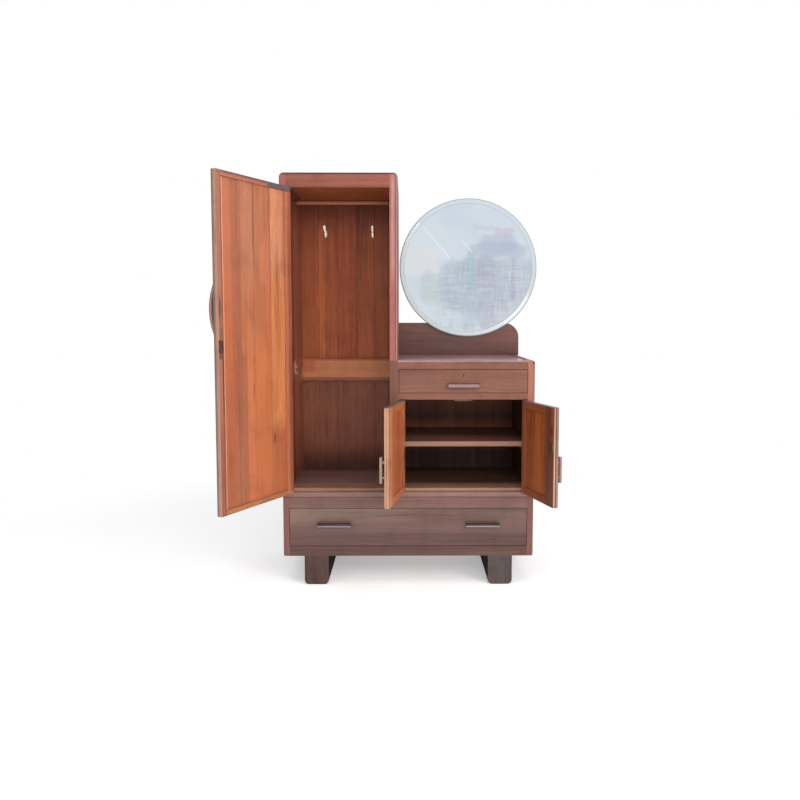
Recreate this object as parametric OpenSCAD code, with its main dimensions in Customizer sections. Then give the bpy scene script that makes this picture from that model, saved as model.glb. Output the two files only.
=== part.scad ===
// Dressing table: a tall hanging cupboard beside a low dresser with a round
// mirror, both on one long-drawer base that stands on two runner feet.
// X runs along the front, Y from the front to the back, Z up.

/* [Overall] */
// Width over the base and over the upper carcass
carcass_w = 1080; // [1000:1:1160]
// Depth from the front faces to the back boards
carcass_d = 460; // [430:1:520]
// Height of the tall cupboard above the floor
column_h = 1756; // [1740:1:1850]
// Outside width of the tall cupboard
column_w = 496; // [470:1:520]
// Height of the dresser top above the floor
dresser_h = 973; // [940:1:1000]

/* [Feet and base] */
// Width of a runner foot
foot_w = 104; // [80:1:130]
// Height of a runner foot
foot_h = 126; // [90:1:160]
// Distance of a foot from the outer side of the base
foot_inset = 91; // [40:1:140]
// Rounding of the lower corners of a foot
foot_round = 20; // [5:1:30]
// Height of the base box
base_h = 257; // [240:1:280]
// Thickness of the base sides
base_side_t = 27; // [22:1:32]
// Height of the rail above the long drawer
base_upper_rail_h = 47; // [35:1:55]
// Height of the rail below the long drawer
base_lower_rail_h = 43; // [32:1:50]
// Thickness of the board that closes the base underneath
base_floor_t = 9; // [6:1:12]
// Thickness of the board that closes the base on top
base_lid_t = 18; // [12:1:20]

/* [Boards] */
// Thickness of the left side of the tall cupboard
column_left_t = 28; // [26:1:36]
// Thickness of the right side of the tall cupboard
column_right_t = 35; // [30:1:40]
// Thickness of the right side of the dresser
dresser_side_t = 30; // [26:1:36]
// Thickness of the lining on the left of the dresser
cheek_t = 4; // [3:1:11]
// Thickness of floors and tops
board_t = 20; // [16:1:22]
// Thickness of the tongued back boards
back_t = 12; // [10:1:16]
// Thickness of the front rails
rail_t = 24; // [24:1:30]
// Depth that floors and tops are let into the sides
housing_d = 6; // [3:1:10]
// Width of the rebate that holds the back boards
rebate_w = 8; // [5:1:12]
// Length of the tenon at each end of a rail
tenon_l = 18; // [12:1:22]
// Thickness of the tenons
tenon_t = 8; // [6:1:10]
// Share of the height of a rail that its tenons take
tenon_share = 0.6; // [0.4:0.05:0.7]
// Number of back boards of the tall cupboard
column_boards = 5; // [3:1:7]
// Number of back boards of the dresser
dresser_boards = 6; // [4:1:8]
// Rounding of the outer front edges
edge_round = 9; // [3:1:14]
// Bevel of the lower front edge of the cupboards, where they meet the base
seam_bevel = 3; // [1:0.5:4]
// Rounding of the top outer corners of the tall cupboard
crown_round = 20; // [8:1:28]
// Rounding of the top outer corner of the dresser
shoulder_round = 14; // [6:1:22]
// Rounding of the bottom corners of the base
base_round = 8; // [3:1:14]

/* [Rails and openings] */
// Height of the rail below the doors
bottom_rail_h = 22; // [18:1:30]
// Height of the rail above the tall door
top_rail_h = 61; // [50:1:80]
// Height of the rail above the small drawer
dresser_top_rail_h = 38; // [30:1:45]
// Height of the opening of the small drawer
drawer_opening_h = 102; // [90:1:115]
// Height of the rail below the small drawer
drawer_rail_h = 27; // [20:1:34]
// Height that the floors stand above the bottom rail as a door stop
floor_step = 13; // [8:1:18]
// Drop of the ceiling of the tall cupboard below its crown
ceiling_drop = 39; // [34:1:46]
// Height of the middle back rail
mid_rail_h = 106; // [80:1:120]
// Height of the lower edge of the middle back rail above the inner floor
mid_rail_up = 433; // [350:1:500]
// Height of the top of the shelf above the inner floor
shelf_up = 202; // [150:1:260]
// Thickness of the shelf
shelf_t = 22; // [16:1:26]
// Distance of the front edge of the shelf behind the front faces
shelf_setback = 32; // [30:1:60]
// Height of the cleats that carry the shelf
cleat_h = 18; // [12:1:24]
// Width of the cleats that carry the shelf
cleat_w = 14; // [10:1:20]
// Width of the block that the small doors close against
stop_w = 74; // [50:1:100]
// Height of that block
stop_h = 20; // [18:1:30]
// Drop of that block below the rail above the small doors
stop_drop = 10; // [6:1:14]
// Rounding of the corners of that block
stop_round = 5; // [2:1:8]

/* [Doors] */
// Thickness of the doors and drawer fronts
front_t = 22; // [20:1:24]
// Gap all round a door or drawer front
front_gap = 2; // [1.5:0.1:3]
// Angle at which the tall door stands open
tall_open = 119.4; // [95:0.1:140]
// Angle at which the left small door stands open
left_open = 102.7; // [90:0.1:140]
// Angle at which the right small door stands open
right_open = 107.6; // [90:0.1:140]
// Width of the free stile of the tall door
tall_free_stile = 24; // [22:1:60]
// Width of the hinge stile of the tall door
tall_hinge_stile = 38; // [26:1:60]
// Height of the rails of the tall door
tall_door_rail = 20; // [18:1:40]
// Width of the free stile of a small door
small_free_stile = 60; // [44:1:70]
// Width of the hinge stile of a small door
small_hinge_stile = 26; // [24:1:50]
// Height of the rails of a small door
small_door_rail = 30; // [24:1:50]
// Thickness of the boards that fill a door
door_board_t = 15; // [12:1:17]
// Depth of the groove that holds the door boards
door_groove_d = 7; // [5:1:9]
// Number of boards in the tall door
tall_boards = 4; // [3:1:6]
// Number of boards in a small door
small_boards = 2; // [2:1:4]
// Length of the tongue between neighbouring boards
tongue_l = 5; // [3:1:6]
// Thickness of the tongue between neighbouring boards
tongue_t = 4; // [3:0.5:5]
// Open joint between the faces of neighbouring boards
board_gap = 1; // [0.5:0.1:2]
// Play between two pieces of wood that are joined inside a door or a drawer
joint_play = 0.1; // [0.05:0.05:0.2]

/* [Hinges] */
// Height of a hinge
hinge_h = 64; // [50:1:80]
// Width of a hinge leaf on the wood
hinge_leaf_w = 18; // [14:1:20]
// Thickness of a hinge leaf
leaf_t = 1.2; // [0.8:0.1:1.5]
// Radius of the hinge knuckles
knuckle_r = 4; // [3.5:0.1:4.2]
// Radius of the hinge pins
pin_r = 2; // [1.5:0.1:2.4]
// Radial clearance of a pin in its knuckles
pin_clear = 0.05; // [0.02:0.01:0.1]
// Number of knuckles of a hinge
knuckles = 5; // [3:2:7]
// Radius of the heads of a hinge pin
pin_head_r = 3.2; // [2.8:0.1:3.5]
// Height of the heads of a hinge pin
pin_head_t = 1.8; // [1:0.1:2.5]
// Clearance between neighbouring knuckles
knuckle_gap = 0.3; // [0.2:0.1:0.6]
// Distance of the hinge line in front of the carcass
hinge_out = 4.6; // [4.5:0.1:5.5]
// Distance of the outer hinges from the ends of the tall door
tall_hinge_inset = 150; // [90:1:220]
// Distance of the hinges from the ends of a small door
small_hinge_inset = 45; // [40:1:110]

/* [Handles and locks] */
// Length of a handle of the long drawer
long_handle_l = 145; // [110:1:180]
// Length of the handle of the small drawer
short_handle_l = 136; // [100:1:170]
// Length of a handle of a small door
door_handle_l = 104; // [80:1:130]
// Height of the section of a bar handle
bar_h = 19; // [14:1:24]
// Depth of the section of a bar handle
bar_d = 12; // [9:1:16]
// Rounding of the section of a bar handle
bar_round = 5; // [2:0.5:6]
// Rounding of the ends of a bar handle
bar_end_round = 7; // [3:0.5:9]
// Gap for the fingers behind a bar handle
finger_gap = 12; // [9:1:20]
// Radius of the posts of a bar handle
post_r = 5; // [3.5:0.5:6.5]
// Distance of a post from the end of its handle
post_inset = 22; // [14:1:30]
// Distance between the two handles of the long drawer
long_handle_pitch = 638; // [560:1:700]
// Height of the handles of the long drawer above the middle of its front
long_handle_up = 13.5; // [-30:0.5:30]
// Drop of the handle of the small drawer below the middle of its front
short_handle_drop = 18; // [5:0.5:25]
// Drop of the handles of the small doors below the middle of the doors
door_handle_drop = 50.5; // [0:0.5:90]
// Distance of a small door handle from the free edge
door_handle_inset = 20; // [16:1:28]
// Length of the bow handle of the tall door
bow_l = 204; // [170:1:240]
// Standing height of the bow handle
bow_rise = 27; // [20:1:32]
// Thickness of the bow handle at its crown
bow_t = 12; // [9:1:14]
// Width of the bow handle
bow_w = 15; // [11:1:20]
// Length of the flat foot at each end of the bow handle
bow_foot = 20; // [14:1:26]
// Height of the bow handle above the middle of the tall door
bow_up = 133; // [115:1:200]
// Height of a door lock
lock_h = 45; // [36:1:52]
// Width of a door lock
lock_w = 20; // [18:1:22]
// Thickness of a lock
lock_t = 5; // [4:0.5:6]
// Distance of a door lock from the edge of its door
lock_edge = 1; // [0.5:0.5:1.5]
// Drop of the lock of the tall door below the middle of the door
tall_lock_drop = 5; // [-5:1:80]
// Height of the lock of a small door above the middle of the door
small_lock_up = 41.5; // [35:0.5:80]
// Width of the lock of the small drawer
drawer_lock_w = 44; // [34:1:54]
// Height of the lock of the small drawer
drawer_lock_h = 32; // [26:1:36]
// Thickness of the lock of the small drawer
drawer_lock_t = 8; // [7:0.5:9]
// Drop of the keyhole of the small drawer below the top of its front
drawer_key_drop = 22; // [18:1:24]
// Width of a lock bolt
bolt_w = 14; // [10:1:18]
// Thickness of a lock bolt
bolt_t = 4; // [3:0.5:4.5]
// Length of a lock bolt
bolt_l = 16; // [12:1:18]
// Throw of a lock bolt
bolt_throw = 6; // [4:0.5:8]
// Clearance round a lock bolt in its case
bolt_clear = 0.2; // [0.1:0.05:0.4]
// Clearance round a lock bolt in the slot that it is thrown into
strike_play = 1; // [0.5:0.1:1.5]
// Radius of the round part of a keyhole
key_r = 2.6; // [2:0.1:3.5]
// Length of the slot of a keyhole
key_slot = 7; // [5:0.5:9]

/* [Drawers] */
// Thickness of the drawer sides and backs
drawer_side_t = 12; // [10:1:14]
// Thickness of the drawer bottoms
drawer_bottom_t = 6; // [4:0.5:8]
// Space between the box of a closed drawer and the back boards
drawer_space = 26; // [20:1:90]
// Play between a drawer side and its opening
side_play = 3; // [2:0.5:5]
// Play between a drawer and its runners
runner_play = 0.3; // [0.2:0.1:0.6]
// Width of the runners
runner_w = 20; // [16:1:26]
// Thickness of the runners
runner_t = 18; // [12:1:20]
// Distance that the runners end before the back of a drawer
runner_short = 10; // [0:1:30]
// Depth that the dovetails reach into a drawer front
lap_d = 14; // [10:1:17]
// Depth of the groove that holds a drawer bottom
groove_d = 5; // [3:0.5:6]
// Height of the groove above the lower edge of a drawer
groove_z = 9; // [6:1:14]
// Height that a drawer side stays below the top of the front
side_drop = 8; // [4:1:14]
// Number of dovetails at a corner of the small drawer
short_tails = 3; // [2:1:4]
// Number of dovetails at a corner of the long drawer
long_tails = 4; // [3:1:6]
// Share of the pitch that a dovetail takes at its root
tail_root = 0.55; // [0.4:0.05:0.65]
// Slope of a dovetail, as rise over run
tail_slope = 0.2; // [0.1:0.05:0.25]

/* [Mirror] */
// Radius of the mirror
mirror_r = 329; // [300:1:330]
// Gap between the mirror and the tall cupboard
mirror_gap = 3; // [2:1:15]
// Height of the middle of the mirror above the dresser top
mirror_up = 420; // [390:1:450]
// Thickness of the mirror glass
glass_t = 6; // [4:0.5:8]
// Width of the bevel of the glass
bevel_w = 22; // [12:1:30]
// Thickness that the bevel takes off the rim of the glass
bevel_d = 3.5; // [1.5:0.5:3.5]
// Thickness of the wooden disc behind the glass
backing_t = 8; // [6:1:12]
// Distance that the disc stays inside the rim of the glass
backing_inset = 12; // [8:1:20]
// Height of the board behind the dresser top
backboard_h = 157; // [140:1:170]
// Thickness of the board behind the dresser top
backboard_t = 20; // [16:1:24]
// Distance of that board from the right side of the carcass
backboard_inset = 4; // [0:1:20]
// Rounding of the top corner of that board
backboard_round = 72; // [30:1:90]
// Width of the posts that carry the mirror
mirror_post_w = 50; // [36:1:64]
// Thickness of the posts that carry the mirror
mirror_post_t = 20; // [16:1:26]
// Distance between the middles of the two posts
mirror_post_pitch = 220; // [180:1:300]
// Length of the posts below the dresser top
mirror_post_drop = 330; // [200:1:420]
// Length of the posts above the middle of the mirror
mirror_post_rise = 181; // [120:1:240]

/* [Hanging space] */
// Radius of the hanging rod
rod_r = 8.5; // [7:0.5:16]
// Drop of the rod below the ceiling
rod_drop = 50; // [40:1:110]
// Distance of the rod behind the front faces
rod_y = 225; // [180:1:260]
// Radius of the wooden rod sockets
socket_r = 17; // [14:1:30]
// Thickness of the rod sockets
socket_t = 12; // [9:1:18]
// Depth of the hole in a rod socket
socket_bore_d = 8; // [6:1:10]
// Radial clearance of the rod in its sockets
rod_clear = 0.3; // [0.2:0.1:0.8]
// Distance between the two coat hooks on the back
hook_pitch = 228; // [180:1:260]
// Shift of the two coat hooks from the middle of the back
hook_shift = 12; // [-10:1:12]
// Height of the coat hook on the side above the floor of the cupboard
side_hook_up = 512; // [440:1:600]
// Distance of the coat hook on the side behind the front
side_hook_y = 200; // [120:1:240]
// Drop of the middle of the hooks below the ceiling
hook_drop = 151; // [125:1:220]
// Height of the plate of a hook
hook_h = 60; // [50:1:80]
// Width of the plate of a hook
hook_w = 15; // [12:1:20]
// Thickness of the plate of a hook
hook_t = 2.5; // [2:0.5:4]
// Radius of the wire of a hook
hook_wire = 3; // [2.5:0.1:3.5]
// Radius of the ball at the tip of a hook
hook_tip_r = 4.2; // [3.6:0.1:4.6]
// Bend radius of the upper arm of a hook
upper_bend = 15; // [12:1:20]
// Bend radius of the lower arm of a hook
lower_bend = 10; // [8:1:12]
// Height of the root of the upper arm above the middle of its plate
upper_arm_z = 12; // [8:1:16]
// Height of the root of the lower arm above the middle of its plate
lower_arm_z = -17; // [-20:1:-15]
// Lean of the left hook
left_lean = -7; // [-15:1:15]
// Lean of the right hook
right_lean = -2; // [-15:1:15]

/* [Hidden] */
$fn = 64;
fine_fn = 180;
wire_fn = 32;
past = 1;
x_lo = -carcass_w / 2;
x_hi = carcass_w / 2;
column_in_l = x_lo + column_left_t;
column_out_r = x_lo + column_w;
column_in_r = column_out_r - column_right_t;
dresser_in_l = column_out_r + cheek_t;
dresser_in_r = x_hi - dresser_side_t;
dresser_mid = (dresser_in_l + dresser_in_r) / 2;
base_in_l = x_lo + base_side_t;
base_in_r = x_hi - base_side_t;
base_top_z = foot_h + base_h;
long_z0 = foot_h + base_lower_rail_h;
long_z1 = base_top_z - base_upper_rail_h;
open_z0 = base_top_z + bottom_rail_h;
floor_z = open_z0 + floor_step;
column_open_z1 = column_h - top_rail_h;
ceiling_z = column_h - ceiling_drop;
short_z1 = dresser_h - dresser_top_rail_h;
short_z0 = short_z1 - drawer_opening_h;
cupboard_z1 = short_z0 - drawer_rail_h;
back_y = carcass_d - back_t;
tenon_low = (1 - tenon_share) / 2;
foot_x = x_hi - foot_inset - foot_w / 2;
mid_rail_z = floor_z + mid_rail_up;
shelf_z = floor_z + shelf_up;
rod_z = ceiling_z - rod_drop;
hook_z = ceiling_z - hook_drop;
hinge_x = front_gap / 2;
tall_w = column_in_r - column_in_l - 2 * front_gap;
tall_h = column_open_z1 - open_z0 - 2 * front_gap;
small_w = (dresser_in_r - dresser_in_l - 3 * front_gap) / 2;
small_h = cupboard_z1 - open_z0 - 2 * front_gap;
bow_z = tall_h / 2 + bow_up;
tall_lock_z = tall_h / 2 - tall_lock_drop;
small_lock_z = small_h / 2 + small_lock_up;
door_handle_z = small_h / 2 - door_handle_drop;
short_handle_z = (short_z0 + short_z1) / 2 - short_handle_drop;
long_handle_z = (long_z0 + long_z1) / 2 + long_handle_up;
drawer_key_z = short_z1 - front_gap - drawer_key_drop;
tall_hinges = [
    tall_hinge_inset,
    tall_h / 2,
    tall_h - tall_hinge_inset
];
small_hinges = [small_hinge_inset, small_h - small_hinge_inset];
knuckle_pitch = hinge_h / knuckles;
box_y0 = front_t;
box_y1 = back_y - drawer_space;
mirror_y1 = carcass_d - backboard_t;
mirror_y0 = mirror_y1 - backing_t - glass_t;
mirror_x = column_out_r + mirror_gap + mirror_r;
mirror_z = dresser_h + mirror_up;
hook_mid = (column_in_l + column_in_r) / 2 + hook_shift;
side_hook_z = floor_z + side_hook_up;

// The reference point is the middle of the space that the object takes on
// the floor with its doors standing open, so it is worked out from them.
tall_reach_x = column_in_l + hinge_x + (hinge_x + tall_w - tall_free_stile / 2) * cos(tall_open)
    - (bow_rise - hinge_out) * sin(tall_open);
tall_reach_y = -hinge_out - (hinge_x + tall_w) * sin(tall_open)
    + (front_t + hinge_out) * cos(tall_open);
rest_x = (tall_reach_x + mirror_x + mirror_r) / 2;
rest_y = (tall_reach_y + carcass_d + mirror_post_t) / 2;

// Colours of the woods and metals
teak = [0.42, 0.26, 0.22];
teak_red = [0.52, 0.30, 0.27];
teak_light = [0.78, 0.46, 0.30];
teak_dark = [0.33, 0.20, 0.16];
bar_wood = [0.36, 0.26, 0.27];
brass = [0.80, 0.70, 0.50];
iron = [0.24, 0.21, 0.20];
silver = [0.84, 0.88, 0.92];

// Helpers

module placed() {
    translate([-rest_x, -rest_y, 0]) children();
}

module block(x0, x1, y0, y1, z0, z1) {
    translate([x0, y0, z0]) cube([x1 - x0, y1 - y0, z1 - z0]);
}

// A rectangle with four round corners, in the plane of its width and height
module round_rect(w, h, r) {
    translate([r, 0]) square([w - 2 * r, h]);
    translate([0, r]) square([w, h - 2 * r]);
    for (x = [r, w - r], y = [r, h - r]) translate([x, y]) circle(r);
}

// What a round corner takes off a shape at the origin, towards +X and +Y
module corner_outline(r) {
    difference() {
        translate([-past, -past]) square(r + past);
        translate([r, r]) circle(r);
    }
}

module corner_waste(r, l) {
    linear_extrude(l) corner_outline(r);
}

// A front rail between two sides, with a stub tenon at each end
module tenoned_rail(x0, x1, y0, t, z0, h) {
    block(x0, x1, y0, y0 + t, z0, z0 + h);
    block(x0 - tenon_l, x1 + tenon_l, y0 + (t - tenon_t) / 2, y0 + (t + tenon_t) / 2,
        z0 + tenon_low * h, z0 + (1 - tenon_low) * h);
}

// Boards joined by tongues and grooves, upright and side by side along X
module tongued_boards(x0, w, n, y0, t, z0, h) {
    pitch = w / n;
    for (i = [0 : n - 1]) translate([x0 + i * pitch, y0, z0]) linear_extrude(h) {
        difference() {
            square([pitch - (i < n - 1 ? board_gap : 0), t]);
            if (i > 0) translate([-board_gap, (t - tongue_t) / 2 - joint_play])
                square([board_gap + tongue_l + joint_play, tongue_t + 2 * joint_play]);
        }
        if (i < n - 1) translate([pitch - 2 * board_gap, (t - tongue_t) / 2])
            square([2 * board_gap + tongue_l, tongue_t]);
    }
}

// What the bevel takes off the lower front edge of the cupboards
module seam_waste() {
    side = seam_bevel * sqrt(2);
    translate([x_lo - past, 0, base_top_z]) rotate([45, 0, 0])
        translate([0, -side / 2, -side / 2]) cube([carcass_w + 2 * past, side, side]);
}

// Feet and base

module feet_form() {
    for (s = [-1, 1])
        translate([s * foot_x - foot_w / 2, carcass_d, 0]) rotate([90, 0, 0])
            linear_extrude(carcass_d) difference() {
                square([foot_w, foot_h]);
                for (k = [0, 1]) translate([k * foot_w, 0]) mirror([k, 0])
                    corner_outline(foot_round);
            }
}

module base_rail_upper_form() {
    tenoned_rail(base_in_l, base_in_r, 0, rail_t, long_z1, base_upper_rail_h);
}

module base_rail_lower_form() {
    tenoned_rail(base_in_l, base_in_r, 0, rail_t, foot_h, base_lower_rail_h);
}

module base_panel_forms() {
    block(base_in_l - housing_d, base_in_r + housing_d, rail_t, back_y,
        foot_h, foot_h + base_floor_t);
    block(base_in_l - housing_d, base_in_r + housing_d, rail_t, back_y,
        base_top_z - base_lid_t, base_top_z);
}

module base_back_form() {
    block(base_in_l - rebate_w, base_in_r + rebate_w, back_y, carcass_d, foot_h, base_top_z);
}

// s is -1 for the left side and 1 for the right one
module base_side_form(s) {
    difference() {
        mirror([s < 0 ? 0 : 1, 0, 0]) difference() {
            block(x_lo, base_in_l, 0, carcass_d, foot_h, base_top_z);
            translate([x_lo, 0, foot_h - past]) corner_waste(edge_round, base_h + 2 * past);
            translate([x_lo, carcass_d + past, foot_h]) rotate([90, 0, 0])
                corner_waste(base_round, carcass_d + 2 * past);
        }
        base_rail_upper_form();
        base_rail_lower_form();
        base_panel_forms();
        base_back_form();
    }
}

module runner_pair(x0, x1, z_top) {
    for (x = [x0, x1 - runner_w])
        block(x, x + runner_w, rail_t, box_y1 - runner_short,
            z_top - runner_play - runner_t, z_top - runner_play);
}

// Tall cupboard

module column_top_form() {
    block(column_in_l - housing_d, column_in_r + housing_d, rail_t, back_y,
        ceiling_z, ceiling_z + board_t);
}

module column_top_rail_form() {
    tenoned_rail(column_in_l, column_in_r, 0, rail_t, column_open_z1, top_rail_h);
}

module column_back_zone() {
    block(column_in_l - rebate_w, column_in_r + rebate_w, back_y, carcass_d,
        base_top_z, ceiling_z + board_t);
}

module column_mid_rail_form() {
    block(column_in_l - housing_d, column_in_r + housing_d, back_y - board_t, back_y,
        mid_rail_z, mid_rail_z + mid_rail_h);
}

module bottom_rail_form() {
    tenoned_rail(column_in_l, dresser_in_r, 0, rail_t, base_top_z, bottom_rail_h);
}

module column_floor_form() {
    block(column_in_l - housing_d, column_in_r + housing_d, rail_t, back_y,
        floor_z - board_t, floor_z);
}

module column_side_left_form() {
    difference() {
        block(x_lo, column_in_l, 0, carcass_d, base_top_z, column_h);
        translate([x_lo, 0, base_top_z - past]) corner_waste(edge_round, column_h);
        translate([x_lo, -past, column_h]) rotate([-90, 0, 0])
            corner_waste(crown_round, carcass_d + 2 * past);
        column_joints();
        hinge_gains("tall");
        seam_waste();
    }
}

module column_side_right_form() {
    difference() {
        block(column_in_r, column_out_r, 0, carcass_d, base_top_z, column_h);
        translate([column_out_r, 0, dresser_h]) mirror([1, 0, 0])
            corner_waste(edge_round, column_h);
        translate([column_out_r, -past, column_h]) mirror([1, 0, 0]) rotate([-90, 0, 0])
            corner_waste(crown_round, carcass_d + 2 * past);
        column_joints();
        dresser_joints();
        tall_strike_slot();
    }
}

// The slot that the bolt of the tall door is thrown into
module tall_strike_slot() {
    lock_z = open_z0 + front_gap + tall_lock_z;
    block(column_in_r - past, column_in_r + bolt_throw,
        front_t + (lock_t - bolt_t) / 2 - strike_play,
        front_t + (lock_t + bolt_t) / 2 + strike_play,
        lock_z - bolt_w / 2 - strike_play, lock_z + bolt_w / 2 + strike_play);
}

module column_joints() {
    column_top_form();
    column_top_rail_form();
    column_back_zone();
    column_mid_rail_form();
    bottom_rail_form();
    column_floor_form();
}

// Dresser

module dresser_floor_form() {
    block(column_out_r - housing_d, dresser_in_r + housing_d, rail_t, back_y,
        floor_z - board_t, floor_z);
}

module dresser_top_form() {
    block(column_out_r - housing_d, dresser_in_r + housing_d, rail_t, carcass_d,
        dresser_h - board_t, dresser_h);
}

module dresser_top_rail_form() {
    tenoned_rail(column_out_r, dresser_in_r, 0, rail_t, short_z1, dresser_top_rail_h);
}

module drawer_rail_form() {
    tenoned_rail(dresser_in_l, dresser_in_r, 0, rail_t, cupboard_z1, drawer_rail_h);
}

module dresser_back_zone() {
    block(column_out_r, dresser_in_r + rebate_w, back_y, carcass_d,
        base_top_z, dresser_h - board_t);
}

module dresser_joints() {
    dresser_floor_form();
    dresser_top_form();
    dresser_top_rail_form();
    drawer_rail_form();
    bottom_rail_form();
}

// The lining stands on the floor, and its front tongue on the bottom rail
module dresser_cheek_form() {
    difference() {
        union() {
            block(column_out_r, dresser_in_l, 0, rail_t, open_z0, short_z1);
            block(column_out_r, dresser_in_l, rail_t, back_y, floor_z, dresser_h - board_t);
        }
        drawer_rail_form();
        hinge_gains("left");
    }
}

module dresser_side_form() {
    difference() {
        block(dresser_in_r, x_hi, 0, carcass_d, base_top_z, dresser_h);
        translate([x_hi, 0, base_top_z - past]) mirror([1, 0, 0])
            corner_waste(edge_round, column_h);
        translate([x_hi, -past, dresser_h]) mirror([1, 0, 0]) rotate([-90, 0, 0])
            corner_waste(shoulder_round, carcass_d + 2 * past);
        dresser_joints();
        dresser_back_zone();
        hinge_gains("right");
        seam_waste();
    }
}

// Hinges. A door is drawn closed, with its hinge edge at x = 0, its outer
// face at y = 0 and its lower edge at z = 0, and then hung on its hinge line.

module hung(x, s, angle) {
    translate([x + s * hinge_x, -hinge_out, open_z0 + front_gap])
        rotate([0, 0, -s * angle]) mirror([s < 0 ? 1 : 0, 0, 0])
            translate([hinge_x, hinge_out, 0]) children();
}

module tall_hung() {
    hung(column_in_l, 1, tall_open) children();
}

module left_hung() {
    hung(dresser_in_l, 1, left_open) children();
}

module right_hung() {
    hung(dresser_in_r, -1, right_open) children();
}

// The same frames with the doors closed, for what stays on the carcass
module closed_frame(which) {
    if (which == "tall") hung(column_in_l, 1, 0) children();
    if (which == "left") hung(dresser_in_l, 1, 0) children();
    if (which == "right") hung(dresser_in_r, -1, 0) children();
}

function hinge_places(which) = which == "tall" ? tall_hinges : small_hinges;

// One leaf with every second knuckle, at the hinge line; first is 0 or 1
module leaf(first) {
    s = first == 0 ? -1 : 1;
    difference() {
        union() {
            translate([s > 0 ? hinge_x : -hinge_x - leaf_t, hinge_out, -hinge_h / 2])
                cube([leaf_t, hinge_leaf_w, hinge_h]);
            for (i = [first : 2 : knuckles - 1])
                translate([0, 0, -hinge_h / 2 + i * knuckle_pitch + knuckle_gap / 2]) {
                    cylinder(r = knuckle_r, h = knuckle_pitch - knuckle_gap);
                    translate([s > 0 ? hinge_x : -hinge_x - leaf_t, 0, 0])
                        cube([leaf_t, hinge_out + leaf_t, knuckle_pitch - knuckle_gap]);
                }
        }
        translate([0, 0, -hinge_h]) cylinder(r = pin_r + pin_clear, h = 2 * hinge_h);
    }
}

module hinge_pin() {
    translate([0, 0, -hinge_h / 2]) cylinder(r = pin_r, h = hinge_h);
    for (k = [0, 1]) mirror([0, 0, k]) translate([0, 0, hinge_h / 2 - knuckle_gap / 2])
        cylinder(r = pin_head_r, h = pin_head_t);
}

// Places the children on the hinge line at each hinge of a door frame
module at_hinges(which) {
    for (z = hinge_places(which)) translate([-hinge_x, -hinge_out, z]) children();
}

module carcass_leaves(which) {
    closed_frame(which) at_hinges(which) leaf(0);
}

module door_leaves(which) {
    at_hinges(which) leaf(1);
}

// The shallow recess in the carcass for each fixed leaf
module hinge_gains(which) {
    closed_frame(which) at_hinges(which)
        translate([-hinge_x - leaf_t, hinge_out - past, -hinge_h / 2])
            cube([leaf_t + past, hinge_leaf_w + past, hinge_h]);
}

module door_gains(which) {
    at_hinges(which) translate([hinge_x - past, hinge_out - past, -hinge_h / 2])
        cube([leaf_t + past, hinge_leaf_w + past, hinge_h]);
}

// Doors

module door_rails(w, h, hs, fs, rail) {
    for (z = [0, h - rail]) {
        translate([hs + joint_play, 0, z]) cube([w - hs - fs - 2 * joint_play, front_t, rail]);
        door_tenons(w, hs, fs, rail, z, 0);
    }
}

// The tenons of one rail of a door, or with some play their mortises
module door_tenons(w, hs, fs, rail, z, play) {
    translate([hs - tenon_l - play, (front_t - tenon_t) / 2 - play, z + tenon_low * rail - play])
        cube([w - hs - fs + 2 * (tenon_l + play), tenon_t + 2 * play,
            tenon_share * rail + 2 * play]);
}

// The space of the boards: their faces, and the tongue in the frame's groove
module door_board_zone(w, h, hs, fs, rail) {
    translate([hs - door_groove_d, door_board_t / 3, rail - door_groove_d])
        cube([w - hs - fs + 2 * door_groove_d, door_board_t / 3,
            h - 2 * rail + 2 * door_groove_d]);
}

module door_frame(which, w, h, hs, fs, rail) {
    difference() {
        union() {
            cube([hs, front_t, h]);
            translate([w - fs, 0, 0]) cube([fs, front_t, h]);
        }
        for (z = [0, h - rail]) door_tenons(w, hs, fs, rail, z, joint_play);
        door_board_zone(w, h, hs, fs, rail);
        door_gains(which);
        children();
    }
    difference() {
        door_rails(w, h, hs, fs, rail);
        door_board_zone(w, h, hs, fs, rail);
    }
}

module door_boards(w, h, hs, fs, rail, n) {
    zone_w = w - hs - fs + 2 * door_groove_d;
    difference() {
        tongued_boards(hs - door_groove_d, zone_w, n, 0, door_board_t,
            rail - door_groove_d, h - 2 * rail + 2 * door_groove_d);
        for (y = [-past, door_board_t * 2 / 3]) difference() {
            translate([0, y, 0]) cube([w, door_board_t / 3 + past, h]);
            translate([hs, y - past, rail])
                cube([w - hs - fs, door_board_t + 2 * past, h - 2 * rail]);
        }
    }
}

// Keyhole through a front, round above and a slot below, along Y
module keyhole() {
    rotate([90, 0, 0]) translate([0, 0, -front_t - past]) linear_extrude(front_t + 2 * past) {
        circle(key_r);
        translate([-key_r / 2, -key_slot]) square([key_r, key_slot]);
    }
}

// A lock case with the tunnel of its bolt along X, closed at the back.
// Its middle is at the origin, and the wood that carries it at y = 0.
module door_lock_case() {
    difference() {
        translate([-lock_w / 2, 0, -lock_h / 2]) cube([lock_w, lock_t, lock_h]);
        translate([lock_w / 2 - bolt_l - bolt_clear, lock_cut_y(), -bolt_w / 2 - bolt_clear])
            cube([bolt_l + past + bolt_clear, bolt_t + 2 * bolt_clear,
                bolt_w + 2 * bolt_clear]);
    }
}

function lock_cut_y() = (lock_t - bolt_t) / 2 - bolt_clear;

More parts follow.
